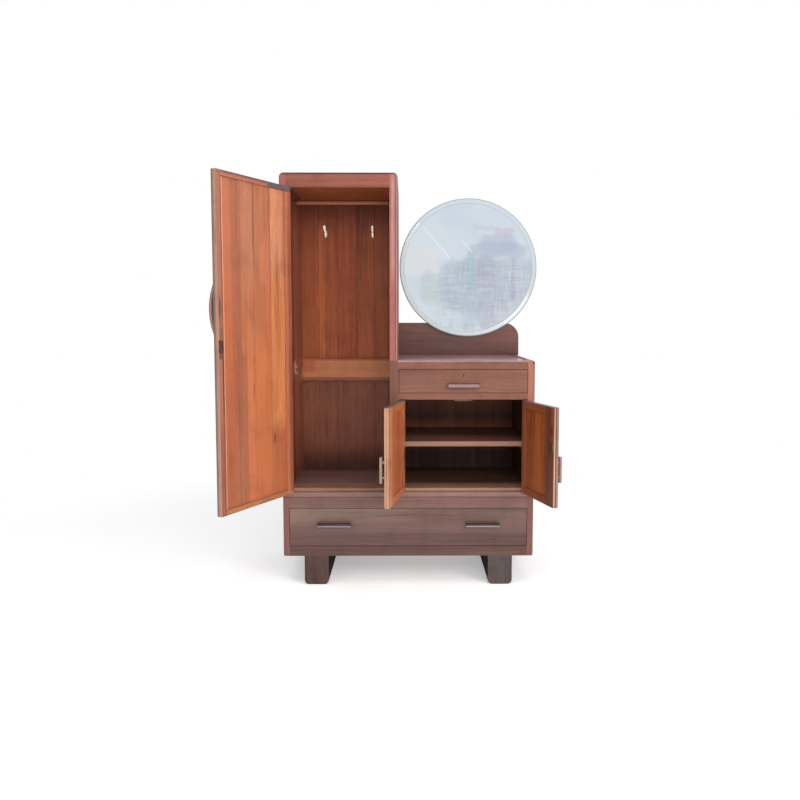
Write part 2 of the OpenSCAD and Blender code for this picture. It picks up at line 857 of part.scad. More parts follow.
module bar_handle(l) {
    // Lies along X, its middle at x = 0, the wood at y = 0 and the bar in front
    intersection() {
        translate([-l / 2, 0, 0]) rotate([90, 0, 90]) linear_extrude(l)
            translate([-finger_gap - bar_d, -bar_h / 2]) round_rect(bar_d, bar_h, bar_round);
        translate([-l / 2, -finger_gap - bar_d, -bar_h]) linear_extrude(2 * bar_h) {
            translate([bar_end_round, 0]) square([l - 2 * bar_end_round, bar_d]);
            translate([0, bar_end_round]) square([l, bar_d - bar_end_round]);
            for (x = [bar_end_round, l - bar_end_round])
                translate([x, bar_end_round]) circle(bar_end_round);
        }
    }
    for (s = [-1, 1]) translate([s * (l / 2 - post_inset), 0, 0]) rotate([90, 0, 0])
        cylinder(r = post_r, h = finger_gap + bar_d / 2);
}

// The bow handle stands on two flat feet, and its bar follows an arc
module bow_handle() {
    inner_rise = bow_rise - bow_t;
    r_out = arc_radius(bow_l, bow_rise);
    r_in = arc_radius(bow_l - 2 * bow_foot, inner_rise);
    translate([-bow_w / 2, 0, 0]) rotate([90, 0, 90]) linear_extrude(bow_w) difference() {
        intersection() {
            translate([r_out - bow_rise, 0]) circle(r_out, $fn = fine_fn);
            translate([-2 * bow_rise, -bow_l]) square([2 * bow_rise, 2 * bow_l]);
        }
        translate([r_in - inner_rise, 0]) circle(r_in, $fn = fine_fn);
    }
}

function arc_radius(chord, rise) = (pow(chord / 2, 2) + pow(rise, 2)) / (2 * rise);

// Drawers. A drawer is drawn in the frame of the carcass, closed.

function tail_z(i, n, z0, h) = z0 + h * (i + 0.5) / n;

// The tails of one side: they widen towards +Y from y0 over the depth d when
// dir is 1, and towards -Y when dir is -1. With some play they are the sockets.
module tails(x0, y0, d, dir, z0, h, n, play = 0) {
    root = h / n * tail_root / 2 + play;
    end = root + d * tail_slope;
    for (i = [0 : n - 1]) translate([x0 - play, y0, tail_z(i, n, z0, h)]) rotate([90, 0, 90])
        linear_extrude(drawer_side_t + 2 * play)
            polygon([[0, -root], [dir * (d + play), -end], [dir * (d + play), end], [0, root]]);
}

module drawer_side(x0, z0, h, n) {
    block(x0, x0 + drawer_side_t, box_y0, box_y1 - drawer_side_t, z0, z0 + h);
    tails(x0, box_y0, lap_d, -1, z0, h, n);
    tails(x0, box_y1 - drawer_side_t, drawer_side_t, 1, z0, h, n);
}

// The bottom, or with some play the groove that holds it
module drawer_bottom_form(x0, x1, z0, play = 0) {
    reach = drawer_side_t - groove_d - play;
    block(x0 + reach, x1 - reach, box_y0 - groove_d - play, box_y1 + play,
        z0 + groove_z - play, z0 + groove_z + drawer_bottom_t + play);
}

module drawer_box(x0, x1, z0, h, n) {
    for (x = [x0, x1 - drawer_side_t]) difference() {
        drawer_side(x, z0, h, n);
        drawer_bottom_form(x0, x1, z0, joint_play);
    }
    difference() {
        block(x0, x1, box_y1 - drawer_side_t + joint_play, box_y1,
            z0 + groove_z + drawer_bottom_t + joint_play, z0 + h);
        for (x = [x0, x1 - drawer_side_t])
            tails(x, box_y1 - drawer_side_t, drawer_side_t, 1, z0, h, n, joint_play);
    }
}

module drawer_front(x0, x1, z0, z1, bx0, bx1, bz0, bh, n) {
    difference() {
        block(x0, x1, 0, front_t, z0, z1);
        for (x = [bx0, bx1 - drawer_side_t])
            tails(x, box_y0, lap_d, -1, bz0, bh, n, joint_play);
        drawer_bottom_form(bx0, bx1, bz0, joint_play);
    }
}

short_x0 = dresser_in_l + side_play;
short_x1 = dresser_in_r - side_play;
short_box_z = short_z0 + front_gap;
short_box_h = drawer_opening_h - 2 * front_gap - side_drop;
long_x0 = base_in_l + side_play;
long_x1 = base_in_r - side_play;
long_box_z = long_z0 + front_gap;
long_box_h = long_z1 - long_z0 - 2 * front_gap - side_drop;

// Hooks

module coat_hook(lean) {
    // The plate stands against y = 0 and the arms come forward
    rotate([0, lean, 0]) {
        translate([-hook_w / 2, -hook_t, -hook_h / 2]) rotate([90, 0, 0])
            mirror([0, 0, 1]) linear_extrude(hook_t) round_rect(hook_w, hook_h, hook_w / 3);
        translate([0, -hook_wire, upper_arm_z]) hook_arm(upper_bend);
        translate([0, -hook_wire, lower_arm_z]) hook_arm(lower_bend);
    }
}

// A half turn of wire from the plate down and forward, with a ball at its tip
module hook_arm(bend) {
    translate([0, -bend, 0]) rotate([90, 0, 90]) rotate([0, 0, 180])
        rotate_extrude(angle = 180) translate([bend, 0]) circle(hook_wire, $fn = wire_fn);
    translate([0, -2 * bend, 0]) cylinder(r = hook_wire, h = bend / 2, $fn = wire_fn);
    translate([0, -2 * bend, bend / 2]) sphere(hook_tip_r, $fn = wire_fn);
}

// The pieces, one module each

module feet() {
    color(teak_dark) placed() feet_form();
}

module base_side_left() {
    color(teak_red) placed() base_side_form(-1);
}

module base_side_right() {
    color(teak_red) placed() base_side_form(1);
}

module base_rail_upper() {
    color(teak) placed() base_rail_upper_form();
}

module base_rail_lower() {
    color(teak) placed() base_rail_lower_form();
}

module base_panels() {
    color(teak_dark) placed() base_panel_forms();
}

module base_back() {
    color(teak_dark) placed() base_back_form();
}

module bottom_drawer_runners() {
    color(teak_dark) placed() runner_pair(base_in_l, base_in_r, long_box_z);
}

module column_side_left() {
    color(teak_red) placed() column_side_left_form();
}

module column_side_right() {
    color(teak_red) placed() column_side_right_form();
}

module column_top() {
    color(teak_dark) placed() column_top_form();
}

module column_top_rail() {
    color(teak_red) placed() column_top_rail_form();
}

module column_back_boards() {
    color(teak_dark) placed()
        tongued_boards(column_in_l - rebate_w, column_in_r - column_in_l + 2 * rebate_w,
            column_boards, back_y, back_t, base_top_z, ceiling_z + board_t - base_top_z);
}

module column_mid_rail() {
    color(teak_light) placed() column_mid_rail_form();
}

module carcass_bottom_rail() {
    color(teak) placed() difference() {
        bottom_rail_form();
        seam_waste();
    }
}

module carcass_floors() {
    color(teak_dark) placed() {
        column_floor_form();
        dresser_floor_form();
    }
}

module dresser_cheek() {
    color(teak) placed() dresser_cheek_form();
}

module dresser_side() {
    color(teak_red) placed() dresser_side_form();
}

module dresser_top() {
    color(teak) placed() dresser_top_form();
}

module dresser_top_rail() {
    color(teak) placed() difference() {
        dresser_top_rail_form();
        drawer_bolt_space(strike_play, bolt_throw + strike_play);
    }
}

module drawer_rail() {
    color(teak) placed() drawer_rail_form();
}

// The block behind the rail that both small doors close against
module door_stop_block() {
    color(teak) placed()
        translate([dresser_mid - stop_w / 2, rail_t + board_t, cupboard_z1 - stop_drop])
            rotate([90, 0, 0]) linear_extrude(board_t) round_rect(stop_w, stop_h, stop_round);
}

module dresser_shelf() {
    color(teak_light) placed()
        block(dresser_in_l, dresser_in_r, shelf_setback, back_y, shelf_z - shelf_t, shelf_z);
}

module shelf_cleats() {
    color(teak_dark) placed() for (x = [dresser_in_l, dresser_in_r - cleat_w])
        block(x, x + cleat_w, shelf_setback + cleat_w, back_y, shelf_z - shelf_t - cleat_h,
            shelf_z - shelf_t);
}

module dresser_back_boards() {
    color(teak_dark) placed()
        tongued_boards(column_out_r, dresser_in_r + rebate_w - column_out_r, dresser_boards,
            back_y, back_t, base_top_z, dresser_h - board_t - base_top_z);
}

module top_drawer_runners() {
    color(teak_dark) placed() runner_pair(dresser_in_l, dresser_in_r, short_box_z);
}

module hanging_rod() {
    gap = socket_t - socket_bore_d + rod_clear;
    color(teak_light) placed() translate([column_in_l + gap, rod_y, rod_z]) rotate([0, 90, 0])
        cylinder(r = rod_r, h = column_in_r - column_in_l - 2 * gap);
}

module rod_sockets() {
    color(teak_light) placed() for (k = [0, 1])
        translate([k == 0 ? column_in_l : column_in_r, rod_y, rod_z]) mirror([k, 0, 0])
            rotate([0, 90, 0]) difference() {
                cylinder(r = socket_r, h = socket_t);
                translate([0, 0, socket_t - socket_bore_d])
                    cylinder(r = rod_r + rod_clear, h = socket_bore_d + past);
            }
}

module coat_hooks() {
    color(brass) placed() {
        translate([hook_mid - hook_pitch / 2, back_y, hook_z]) coat_hook(left_lean);
        translate([hook_mid + hook_pitch / 2, back_y, hook_z]) coat_hook(right_lean);
        translate([column_in_l, side_hook_y, side_hook_z]) rotate([0, 0, 90]) coat_hook(0);
    }
}

module mirror_backboard() {
    board_w = x_hi - backboard_inset - column_out_r;
    color(teak_dark) placed() translate([column_out_r, carcass_d, dresser_h])
        rotate([90, 0, 0]) linear_extrude(backboard_t) {
            square([board_w - backboard_round, backboard_h]);
            square([board_w, backboard_h - backboard_round]);
            translate([board_w - backboard_round, backboard_h - backboard_round])
                circle(backboard_round);
        }
}

module mirror_supports() {
    post_top = mirror_z + mirror_post_rise;
    color(teak_dark) placed() for (s = [-1, 1]) {
        x = mirror_x + s * mirror_post_pitch / 2 - mirror_post_w / 2;
        block(x, x + mirror_post_w, carcass_d, carcass_d + mirror_post_t,
            dresser_h - mirror_post_drop, post_top);
        block(x, x + mirror_post_w, mirror_y1, carcass_d - joint_play,
            dresser_h + backboard_h, post_top);
    }
}

module mirror_backing() {
    color(teak_dark) placed() translate([mirror_x, mirror_y1, mirror_z]) rotate([90, 0, 0])
        cylinder(r = mirror_r - backing_inset, h = backing_t, $fn = fine_fn);
}

module mirror_glass() {
    color(silver) placed() translate([mirror_x, mirror_y0 + glass_t, mirror_z])
        rotate([90, 0, 0]) rotate_extrude($fn = fine_fn)
            polygon([[0, 0], [mirror_r, 0], [mirror_r, glass_t - bevel_d],
                [mirror_r - bevel_w, glass_t], [0, glass_t]]);
}

module carcass_hinge_leaves() {
    color(brass) placed() for (which = ["tall", "left", "right"]) carcass_leaves(which);
}

module hinge_pins() {
    color(brass) placed() for (which = ["tall", "left", "right"])
        closed_frame(which) at_hinges(which) hinge_pin();
}

module tall_door_frame() {
    color(teak_light) placed() tall_hung()
        door_frame("tall", tall_w, tall_h, tall_hinge_stile, tall_free_stile, tall_door_rail)
            translate([tall_w - tall_free_stile / 2, 0, tall_lock_z])
                keyhole();
}

module tall_door_boards() {
    color(teak_light) placed() tall_hung()
        door_boards(tall_w, tall_h, tall_hinge_stile, tall_free_stile, tall_door_rail,
            tall_boards);
}

module tall_door_handle() {
    color(bar_wood) placed() tall_hung()
        translate([tall_w - tall_free_stile / 2, 0, bow_z]) bow_handle();
}

module tall_door_leaves() {
    color(brass) placed() tall_hung() door_leaves("tall");
}

module tall_lock_placed() {
    placed() tall_hung()
        translate([tall_w - lock_w / 2 - lock_edge, front_t, tall_lock_z])
            children();
}

module tall_door_lock() {
    color(iron) tall_lock_placed() door_lock_case();
}

module door_bolt() {
    translate([lock_w / 2 - bolt_l, (lock_t - bolt_t) / 2, -bolt_w / 2])
        cube([bolt_l, bolt_t, bolt_w]);
}

module tall_lock_bolt() {
    color(brass) tall_lock_placed() door_bolt();
}

module left_door_frame() {
    color(teak_light) placed() left_hung()
        door_frame("left", small_w, small_h, small_hinge_stile, small_free_stile,
            small_door_rail);
}

module left_door_boards() {
    color(teak_light) placed() left_hung()
        door_boards(small_w, small_h, small_hinge_stile, small_free_stile, small_door_rail,
            small_boards);
}

module small_handle_placed() {
    translate([small_w - door_handle_inset, 0, door_handle_z])
        rotate([0, 90, 0]) bar_handle(door_handle_l);
}

module left_door_handle() {
    color(bar_wood) placed() left_hung() small_handle_placed();
}

module left_door_leaves() {
    color(brass) placed() left_hung() door_leaves("left");
}

module right_door_frame() {
    color(teak_light) placed() right_hung()
        door_frame("right", small_w, small_h, small_hinge_stile, small_free_stile,
            small_door_rail)
            translate([small_w - lock_w / 2 - lock_edge, 0, small_lock_z])
                keyhole();
}

module right_door_boards() {
    color(teak_light) placed() right_hung()
        door_boards(small_w, small_h, small_hinge_stile, small_free_stile, small_door_rail,
            small_boards);
}

module right_door_handle() {
    color(bar_wood) placed() right_hung() small_handle_placed();
}

module right_door_leaves() {
    color(brass) placed() right_hung() door_leaves("right");
}

module right_lock_placed() {
    placed() right_hung()
        translate([small_w - lock_w / 2 - lock_edge, front_t,
            small_lock_z])
            children();
}

module right_door_lock() {
    color(iron) right_lock_placed() door_lock_case();
}

module right_lock_bolt() {
    color(brass) right_lock_placed() door_bolt();
}

module top_drawer_front() {
    color(teak) placed() difference() {
        drawer_front(dresser_in_l + front_gap, dresser_in_r - front_gap,
            short_z0 + front_gap, short_z1 - front_gap,
            short_x0, short_x1, short_box_z, short_box_h, short_tails);
        translate([dresser_mid, 0, drawer_key_z]) keyhole();
        drawer_lock_space();
    }
}

module top_drawer_box() {
    color(teak_light) placed()
        drawer_box(short_x0, short_x1, short_box_z, short_box_h, short_tails);
}

module top_drawer_bottom() {
    color(teak_light) placed() drawer_bottom_form(short_x0, short_x1, short_box_z);
}

module top_drawer_handle() {
    color(bar_wood) placed() translate([dresser_mid, 0, short_handle_z])
        bar_handle(short_handle_l);
}

// The drawer lock is let into the back of the front, and its bolt rises
module drawer_lock_space() {
    block(dresser_mid - drawer_lock_w / 2, dresser_mid + drawer_lock_w / 2,
        front_t - drawer_lock_t, front_t,
        short_z1 - front_gap - drawer_lock_h, short_z1 - front_gap);
}

module top_drawer_lock() {
    color(iron) placed() difference() {
        drawer_lock_space();
        drawer_bolt_space(bolt_clear, past);
    }
}

module drawer_bolt_space(c, up) {
    y = front_t - drawer_lock_t / 2;
    block(dresser_mid - bolt_w / 2 - c, dresser_mid + bolt_w / 2 + c,
        y - bolt_t / 2 - c, y + bolt_t / 2 + c,
        short_z1 - front_gap - bolt_l - c, short_z1 - front_gap + up);
}

module top_lock_bolt() {
    color(brass) placed() drawer_bolt_space(0, 0);
}

module bottom_drawer_front() {
    color(teak) placed()
        drawer_front(base_in_l + front_gap, base_in_r - front_gap,
            long_z0 + front_gap, long_z1 - front_gap,
            long_x0, long_x1, long_box_z, long_box_h, long_tails);
}

module bottom_drawer_box() {
    color(teak_light) placed() {
        drawer_box(long_x0, long_x1, long_box_z, long_box_h, long_tails);
        drawer_bottom_form(long_x0, long_x1, long_box_z);
    }
}

module bottom_drawer_handles() {
    color(bar_wood) placed() for (s = [-1, 1])
        translate([s * long_handle_pitch / 2, 0, long_handle_z]) bar_handle(long_handle_l);
}

feet();
base_side_left();
base_side_right();
base_rail_upper();
base_rail_lower();
base_panels();
base_back();
bottom_drawer_runners();
column_side_left();
column_side_right();
column_top();
column_top_rail();
column_back_boards();
column_mid_rail();
carcass_bottom_rail();
carcass_floors();
dresser_cheek();
dresser_side();
dresser_top();
dresser_top_rail();
drawer_rail();
door_stop_block();
dresser_shelf();
shelf_cleats();
dresser_back_boards();
top_drawer_runners();
hanging_rod();
rod_sockets();
coat_hooks();
mirror_backboard();
mirror_supports();
mirror_backing();
mirror_glass();
carcass_hinge_leaves();
hinge_pins();
tall_door_frame();
tall_door_boards();
tall_door_handle();
tall_door_leaves();
tall_door_lock();
tall_lock_bolt();
left_door_frame();
left_door_boards();
left_door_handle();
left_door_leaves();
right_door_frame();
right_door_boards();
right_door_handle();
right_door_leaves();
right_door_lock();
right_lock_bolt();
top_drawer_front();
top_drawer_box();
top_drawer_bottom();
top_drawer_handle();
top_drawer_lock();
top_lock_bolt();
bottom_drawer_front();
bottom_drawer_box();
bottom_drawer_handles();
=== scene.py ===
"""Looks of the dressing table: finishes for its woods, metals and mirror, and its small fittings."""
import math

import bpy
import numpy as np
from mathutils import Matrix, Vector


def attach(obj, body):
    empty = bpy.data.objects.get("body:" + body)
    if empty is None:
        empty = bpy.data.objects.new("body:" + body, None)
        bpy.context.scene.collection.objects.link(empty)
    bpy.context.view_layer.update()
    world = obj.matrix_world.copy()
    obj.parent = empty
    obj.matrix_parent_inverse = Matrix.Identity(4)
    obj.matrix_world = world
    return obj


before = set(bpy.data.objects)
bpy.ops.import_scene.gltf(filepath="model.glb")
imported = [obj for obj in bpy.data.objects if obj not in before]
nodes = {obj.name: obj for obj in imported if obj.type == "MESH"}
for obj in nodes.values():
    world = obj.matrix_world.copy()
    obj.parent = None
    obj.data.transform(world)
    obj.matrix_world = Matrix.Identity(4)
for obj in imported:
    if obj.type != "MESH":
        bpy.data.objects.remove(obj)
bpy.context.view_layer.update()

# Middle of the shared frame, and backs of the carcass and of the mirror posts, in millimetres:
# X from the middle of the carcass, Y from its front, Z from the floor

REST_X = -59.3565
REST_Y = 43.8600
DEPTH = 460.0
POST_DEPTH = 480.0

# Hinge lines of the doors, how far they stand before the front, and the gap to a door's edge

TALL_LINE = -511.0
LEFT_LINE = -39.0
RIGHT_LINE = 509.0
HINGE_OUT = 4.6
EDGE_GAP = 1.0

# Doors: angles at rest in degrees, height of their foot above the floor, widths and heights

TALL_OPEN = 119.4
LEFT_OPEN = 102.7
RIGHT_OPEN = 107.6
DOOR_Z = 407.0
TALL_W = 429.0
TALL_H = 1286.0
SMALL_W = 272.0
SMALL_H = 397.0

# Mirror: middle of its front face, radius, and width of its bevel

MIRROR_X = 288.0
MIRROR_Y = 426.0
MIRROR_Z = 1393.0
MIRROR_R = 329.0
BEVEL_W = 22.0


def at(x, y, z):
    """A point of the carcass, in millimetres, as a point of the shared frame, in metres."""
    return np.array([(x - REST_X) / 1000, (y - REST_Y) / 1000, z / 1000])


CARCASS = tuple(at(0, 0, 0))
REST = (CARCASS, 0.0)


def linear(colour):
    """A colour written as it looks, from 0 to 255, as the light that it sends back."""
    c = np.array(colour, float) / 255
    return tuple(np.where(c <= 0.04045, c / 12.92, ((c + 0.055) / 1.055) ** 2.4)) + (1.0,)


# Shader maths


class Value:
    """A number that varies over a surface. Arithmetic on it adds Math nodes."""

    def __init__(self, sheet, socket):
        self.sheet = sheet
        self.socket = socket

    def math(self, operation, *others):
        return self.sheet.add("ShaderNodeMath", {"operation": operation}, [self, *others])

    def __add__(self, other):
        return self.math("ADD", other)

    def __mul__(self, other):
        return self.math("MULTIPLY", other)

    def __sub__(self, other):
        return self.math("SUBTRACT", other)

    def __rsub__(self, other):
        return self.sheet.add("ShaderNodeMath", {"operation": "SUBTRACT"}, [other, self])

    def __truediv__(self, other):
        return self.math("DIVIDE", other)

    __radd__ = __add__

    def step(self, low, high):
        """0 below low, 1 above high, and a smooth rise between them."""
        return self.sheet.add(
            "ShaderNodeMapRange",
            {"interpolation_type": "SMOOTHSTEP"},
            {"Value": self, "From Min": low, "From Max": high},
        )

    def band(self, low, high, soft):
        """1 from low to high, fading to 0 over soft on both sides."""
        return self.step(low - soft, low) * (1 - self.step(high, high + soft))


class Sheet:
    """The nodes of one material or of the world, made one after another."""

    def __init__(self, owner):
        owner.use_nodes = True
        self.owner = owner
        self.tree = owner.node_tree
        self.tree.nodes.clear()

    def add(self, kind, settings=None, inputs=(), out=0):
        """One node, with its settings made first and then its sockets filled."""
        node = self.tree.nodes.new(kind)
        for key, value in (settings or {}).items():
            setattr(node, key, value)
        pairs = inputs.items() if isinstance(inputs, dict) else enumerate(inputs)
        for key, value in pairs:
            if isinstance(value, Value):
                self.tree.links.new(value.socket, node.inputs[key])
            else:
                node.inputs[key].default_value = value
        return Value(self, node.outputs[out]) if node.outputs else None

    def axes(self, corner=CARCASS, turn=0.0):
        """X, Y and Z of the piece at rest, from a corner and turned about Z, in metres."""
        place = self.add("ShaderNodeTexCoord", out="Object")
        place = self.add(
            "ShaderNodeMapping",
            {"vector_type": "TEXTURE"},
            {"Vector": place, "Location": tuple(corner), "Rotation": (0, 0, math.radians(turn))},
        )
        return self.split(place)

    def split(self, point):
        """X, Y and Z of a point."""
        outs = self.add("ShaderNodeSeparateXYZ", None, [point]).socket.node.outputs
        return [Value(self, outs[k]) for k in range(3)]

    def noise(self, x, y, z, detail=2.0, rough=0.5):
        """Soft noise from 0 to 1 at a point that is already scaled."""
        point = self.add("ShaderNodeCombineXYZ", None, [x, y, z])
        return self.add(
            "ShaderNodeTexNoise",
            {"noise_dimensions": "3D"},
            {"Vector": point, "Scale": 1.0, "Detail": detail, "Roughness": rough},
        )

    def lot(self, number, seed):
        """A value from 0 to 1 drawn by lot for each whole number."""
        return self.add(
            "ShaderNodeTexWhiteNoise", {"noise_dimensions": "1D"}, {"W": number + seed}
        )

    def mix(self, share, one, other, blend="MIX"):
        """A colour between two colours. Sockets 6 and 7 take the colours, and 2 gives the mix."""
        return self.add(
            "ShaderNodeMix",
            {"data_type": "RGBA", "blend_type": blend, "clamp_factor": True},
            {0: share, 6: one, 7: other},
            out=2,
        )

    def finish(self, base, rough, bump=None, depth=0.0, rounded=None, **sockets):
        """The surface itself.

        Depth is the height of the bump in metres, and rounded the normal of a Bevel node that
        softens the edges. Other sockets are named as Blender names them, with _ for a space.
        """
        inputs = {"Base Color": base, "Roughness": rough}
        inputs.update({key.replace("_", " "): value for key, value in sockets.items()})
        if bump is not None:
            ins = {"Strength": 1.0, "Distance": depth, "Height": bump}
            if rounded:
                ins["Normal"] = rounded
            inputs["Normal"] = self.add("ShaderNodeBump", None, ins)
        shader = self.add("ShaderNodeBsdfPrincipled", None, inputs)
        self.add("ShaderNodeOutputMaterial", None, [shader])
        return self.owner


def new_sheet(name):
    """The sheet of a new material."""
    return Sheet(bpy.data.materials.new(name))


# Woods

DARK_WOOD = linear((132, 116, 112))
LIGHT_WOOD = linear((104, 84, 70))
RINGS = 90.0


def zone(colour, share=1.0, x=None, y=None, z=None, soft=3.0, ragged=0.0):
    """A tint over what lies between limits in millimetres.

    Limits are low, high and, if it isn't soft, the distance over which they fade. Ragged is
    how far the edges stray along the grain.
    """

    def tint(s, *place):
        stray = 0.0
        if ragged:
            px, py, pz = place
            wave = s.noise(px * 25, py * 25, pz * 4 + ragged, 4.0, 0.7) - 0.5
            stray = wave * (ragged * 2.4 / 1000)
        amount = share
        for value, limits in zip(place, (x, y, z)):
            if limits:
                low, high, fade = [k / 1000 for k in (*limits, soft)[:3]]
                amount = (value + stray).band(low, high, fade) * amount
        return amount, colour

    return tint


def knot(colour, x, z, width, height):
    """A tint for a knot or a stain: an oval spot, strongest in its middle. In millimetres."""

    def tint(s, px, py, pz):
        u = (px - x / 1000) / (width / 2000)
        v = (pz - z / 1000) / (height / 2000)
        away = (u * u + v * v).math("SQRT") + (s.noise(px * 150, py * 150, pz * 60) - 0.5) * 0.8
        return away.step(1.0, 0.35) * 0.8, colour

    return tint


def flecks(colour, share, x, z, wide=10.0, tall=70.0, soft=12.0):
    """A tint broken into flecks that run up the board, within limits in millimetres."""

    def tint(s, px, py, pz):
        spots = s.noise(px * (1000 / wide), py * 20, pz * (1000 / tall), 3.0, 0.65)
        inside = px.band(x[0] / 1000, x[1] / 1000, soft / 1000)
        inside = inside * pz.band(z[0] / 1000, z[1] / 1000, soft / 200)
        return spots.step(0.47, 0.62) * inside * share, colour

    return tint


def figure(s, along, across, deep, seed):
    """The figure of sawn wood as values from 0 to 1: broad, streak, fine, ring, line, fibre, pore.

    All but the rings are noise drawn out along the grain. Rings are a sine of the distance
    from a pith that lies behind the board, RINGS of them in a metre, bent by slow noise. Lines
    and pores are the peaks of their noise.
    """
    a = along + seed * 1.7
    c = across + seed * 0.63
    d = deep + seed * 0.31
    wander = s.noise(a * 1.1, c * 5, d * 5)
    broad = s.noise(a * 0.8, c * 11, d * 11, 3.0, 0.5)
    streak = s.noise(a * 1.5, c * 38, d * 38, 3.0, 0.55)
    fine = s.noise(a * 5, c * 190, d * 190, 3.0, 0.6)
    pith = (across - 0.02 + wander * 0.06).math("POWER", 2) + (deep + 0.09).math("POWER", 2)
    turns = pith.math("SQRT") * RINGS + wander * 6 + streak * 0.8
    ring = (turns * 2 * math.pi).math("SINE") * 0.5 + 0.5
    line = s.noise(a * 2.0, c * 120, d * 120, 1.0).step(0.68, 0.76)
    fibre = s.noise(a * 14, c * 700, d * 700, 2.0, 0.6)
    pore = s.noise(a * 45, c * 1500, d * 1500, 1.0).step(0.62, 0.72)
    return broad, streak, fine, ring, line, fibre, pore


def wood(name, tone, parts, tints=(), contrast=1.0, rough=0.42, coat=0.25, worn=0.25,
         gloss=0.22, mirrored=0.5, relief=0.00025, dull=None):
    """A wood of one tone.

    Parts gives the sheet its axes, the same axes as along, across and deep, a tone for each
    board, and a seed. Tints are laid over the tone. Contrast scales the figure and worn the
    light on edges, which is rubbed wear and a painted highlight. Coat, gloss and mirrored are
    the varnish: how much there is, how rough it is and how strongly the wood under it shines.
    Dull is a zone without polish, and its colour has no use.
    """
    s = new_sheet(name)
    x, y, z, along, across, deep, lot, seed = parts(s)
    broad, streak, fine, ring, line, fibre, pore = figure(s, along, across, deep, seed)
    colour = linear(tone)
    for tint in tints:
        share, over = tint(s, x, y, z)
        colour = s.mix(share, colour, linear(over))
    # The figure, darker and lighter than the tone
    shade = (broad - 0.5) * 1.5 + (streak - 0.5) * 0.8 + (fine - 0.5) * 0.7 + lot
    shade = (shade + (ring - 0.5) * broad * 0.4 + (fibre - 0.5) * 0.6) * contrast
    colour = s.mix(shade.step(0.05, -0.9), colour, s.mix(1.0, colour, DARK_WOOD, "MULTIPLY"))
    colour = s.mix(shade.step(-0.05, 0.9), colour, s.mix(0.5, colour, LIGHT_WOOD, "SCREEN"))
    # Dirt in clouds, dark lines and pores
    grime = s.noise(x * 9, y * 9, z * 9, 4.0, 0.65)
    dark = s.mix(1.0, colour, DARK_WOOD, "MULTIPLY")
    colour = s.mix(grime.step(0.45, 0.85) * 0.3 + line * 0.25 + pore * 0.4, colour, dark)
    # Edges lighter where the rounded normal turns away from the flat one: rubbed wear and a painted
    # highlight
    rounded = s.add("ShaderNodeBevel", {"samples": 4}, {"Radius": 0.0015})
    flat = s.add("ShaderNodeNewGeometry", out="True Normal")
    turn = s.add(
        "ShaderNodeVectorMath", {"operation": "DOT_PRODUCT"}, [rounded, flat], out="Value"
    )
    edge = turn.step(0.97, 0.85) * (grime.step(0.35, 0.6) * worn)
    colour = s.mix(edge, colour, s.mix(1.0, colour, LIGHT_WOOD, "SCREEN"))
    # Varnish
    lost = 0.0
    if dull:
        lost, unused = dull(s, x, y, z)
    polish = grime.step(0.9, 0.3) * coat
    return s.finish(
        colour,
        rough + (fibre - 0.5) * 0.18 + grime * 0.1 + lost * (0.9 - rough),
        fibre * 0.5 + fine * 0.3 + ring * 0.15 - pore * 0.8,
        relief,
        rounded,
        Specular_IOR_Level=mirrored,
        Coat_Weight=polish - polish * lost,
        Coat_Roughness=gloss,
    )


def plain(grain, seed):
    """Solid wood with its grain along x, y or z."""

    def parts(s):
        x, y, z = s.axes()
        order = {"x": (x, z, y), "y": (y, x, z), "z": (z, x, y)}[grain]
        return x, y, z, *order, 0.0, seed

    return parts


def boarded(start, pitch, spread, seed, place=REST):
    """Upright boards side by side along x, each with its own tone and its own figure."""

    def parts(s):
        x, y, z = s.axes(*place)
        number = ((x - start / 1000) / (pitch / 1000)).math("FLOOR")
        lot = s.lot(number, seed)
        tone = (s.lot(number, seed + 37.5) - 0.5) * spread
        return x, y, z, z + lot * 5, x + lot * 3, y, tone, seed

    return parts


def framed(width, height, hinge_stile, free_stile, rail, seed, place):
    """A door frame, seen from its lower hinge corner: upright stiles, and rails across."""
    low = hinge_stile / 1000
    high = (width - free_stile) / 1000
    foot = rail / 1000
    head = (height - rail) / 1000
    middle = width / 2000
    half = height / 2000

    def parts(s):
        x, y, z = s.axes(*place)
        lying = x.band(low, high, 0.0001) * (1 - z.band(foot, head, 0.0001))
        along = z + (x - z) * lying
        across = x + (z - x) * lying
        number = x.step(middle, middle + 0.001) * 2 + z.step(half, half + 0.001)
        tone = (s.lot(number + lying * 4, seed) - 0.5) * 0.3
        return x, y, z, along + number * 1.3, across + number * 0.7, y, tone, seed

    return parts


def drawered(low, high, side, seed):
    """A drawer box: the grain of its sides runs from front to back, of the rest across."""

    def parts(s):
        x, y, z = s.axes()
        sides = 1 - x.band((low + side) / 1000, (high - side) / 1000, 0.0001)
        return x, y, z, x + (y - x) * sides, z, y + (x - y) * sides, sides * 0.1, seed

    return parts


# Finishes that are not wood


def metal(name, dull, bright, rough, spots, shine=1.0):
    """Old metal: bright where it is rubbed, dull and spotted elsewhere."""
    s = new_sheet(name)
    x, y, z = s.axes()
    cloud = s.noise(x * 90, y * 90, z * 90, 4.0, 0.6)
    speck = s.noise(x * 700, y * 700, z * 700, 2.0).step(0.6, 0.72) * spots
    colour = s.mix(cloud.step(0.3, 0.7), linear(dull), linear(bright))
    colour = s.mix(speck, colour, linear([v * 0.4 for v in dull]))
    return s.finish(
        colour, rough + cloud * 0.25 + speck * 0.3, cloud * 0.4 - speck, 0.0001, Metallic=shine
    )


HOOK_HIGHLIGHTS = (
    # Painted highlights on the plates: colour, x, z, width, height
    ((255, 246, 222), -402, 1585, 17, 34),
    ((214, 190, 160), -393, 1558, 17, 42),
    ((250, 240, 214), -173, 1582, 17, 36),
    ((220, 200, 170), -172, 1553, 17, 36),
)


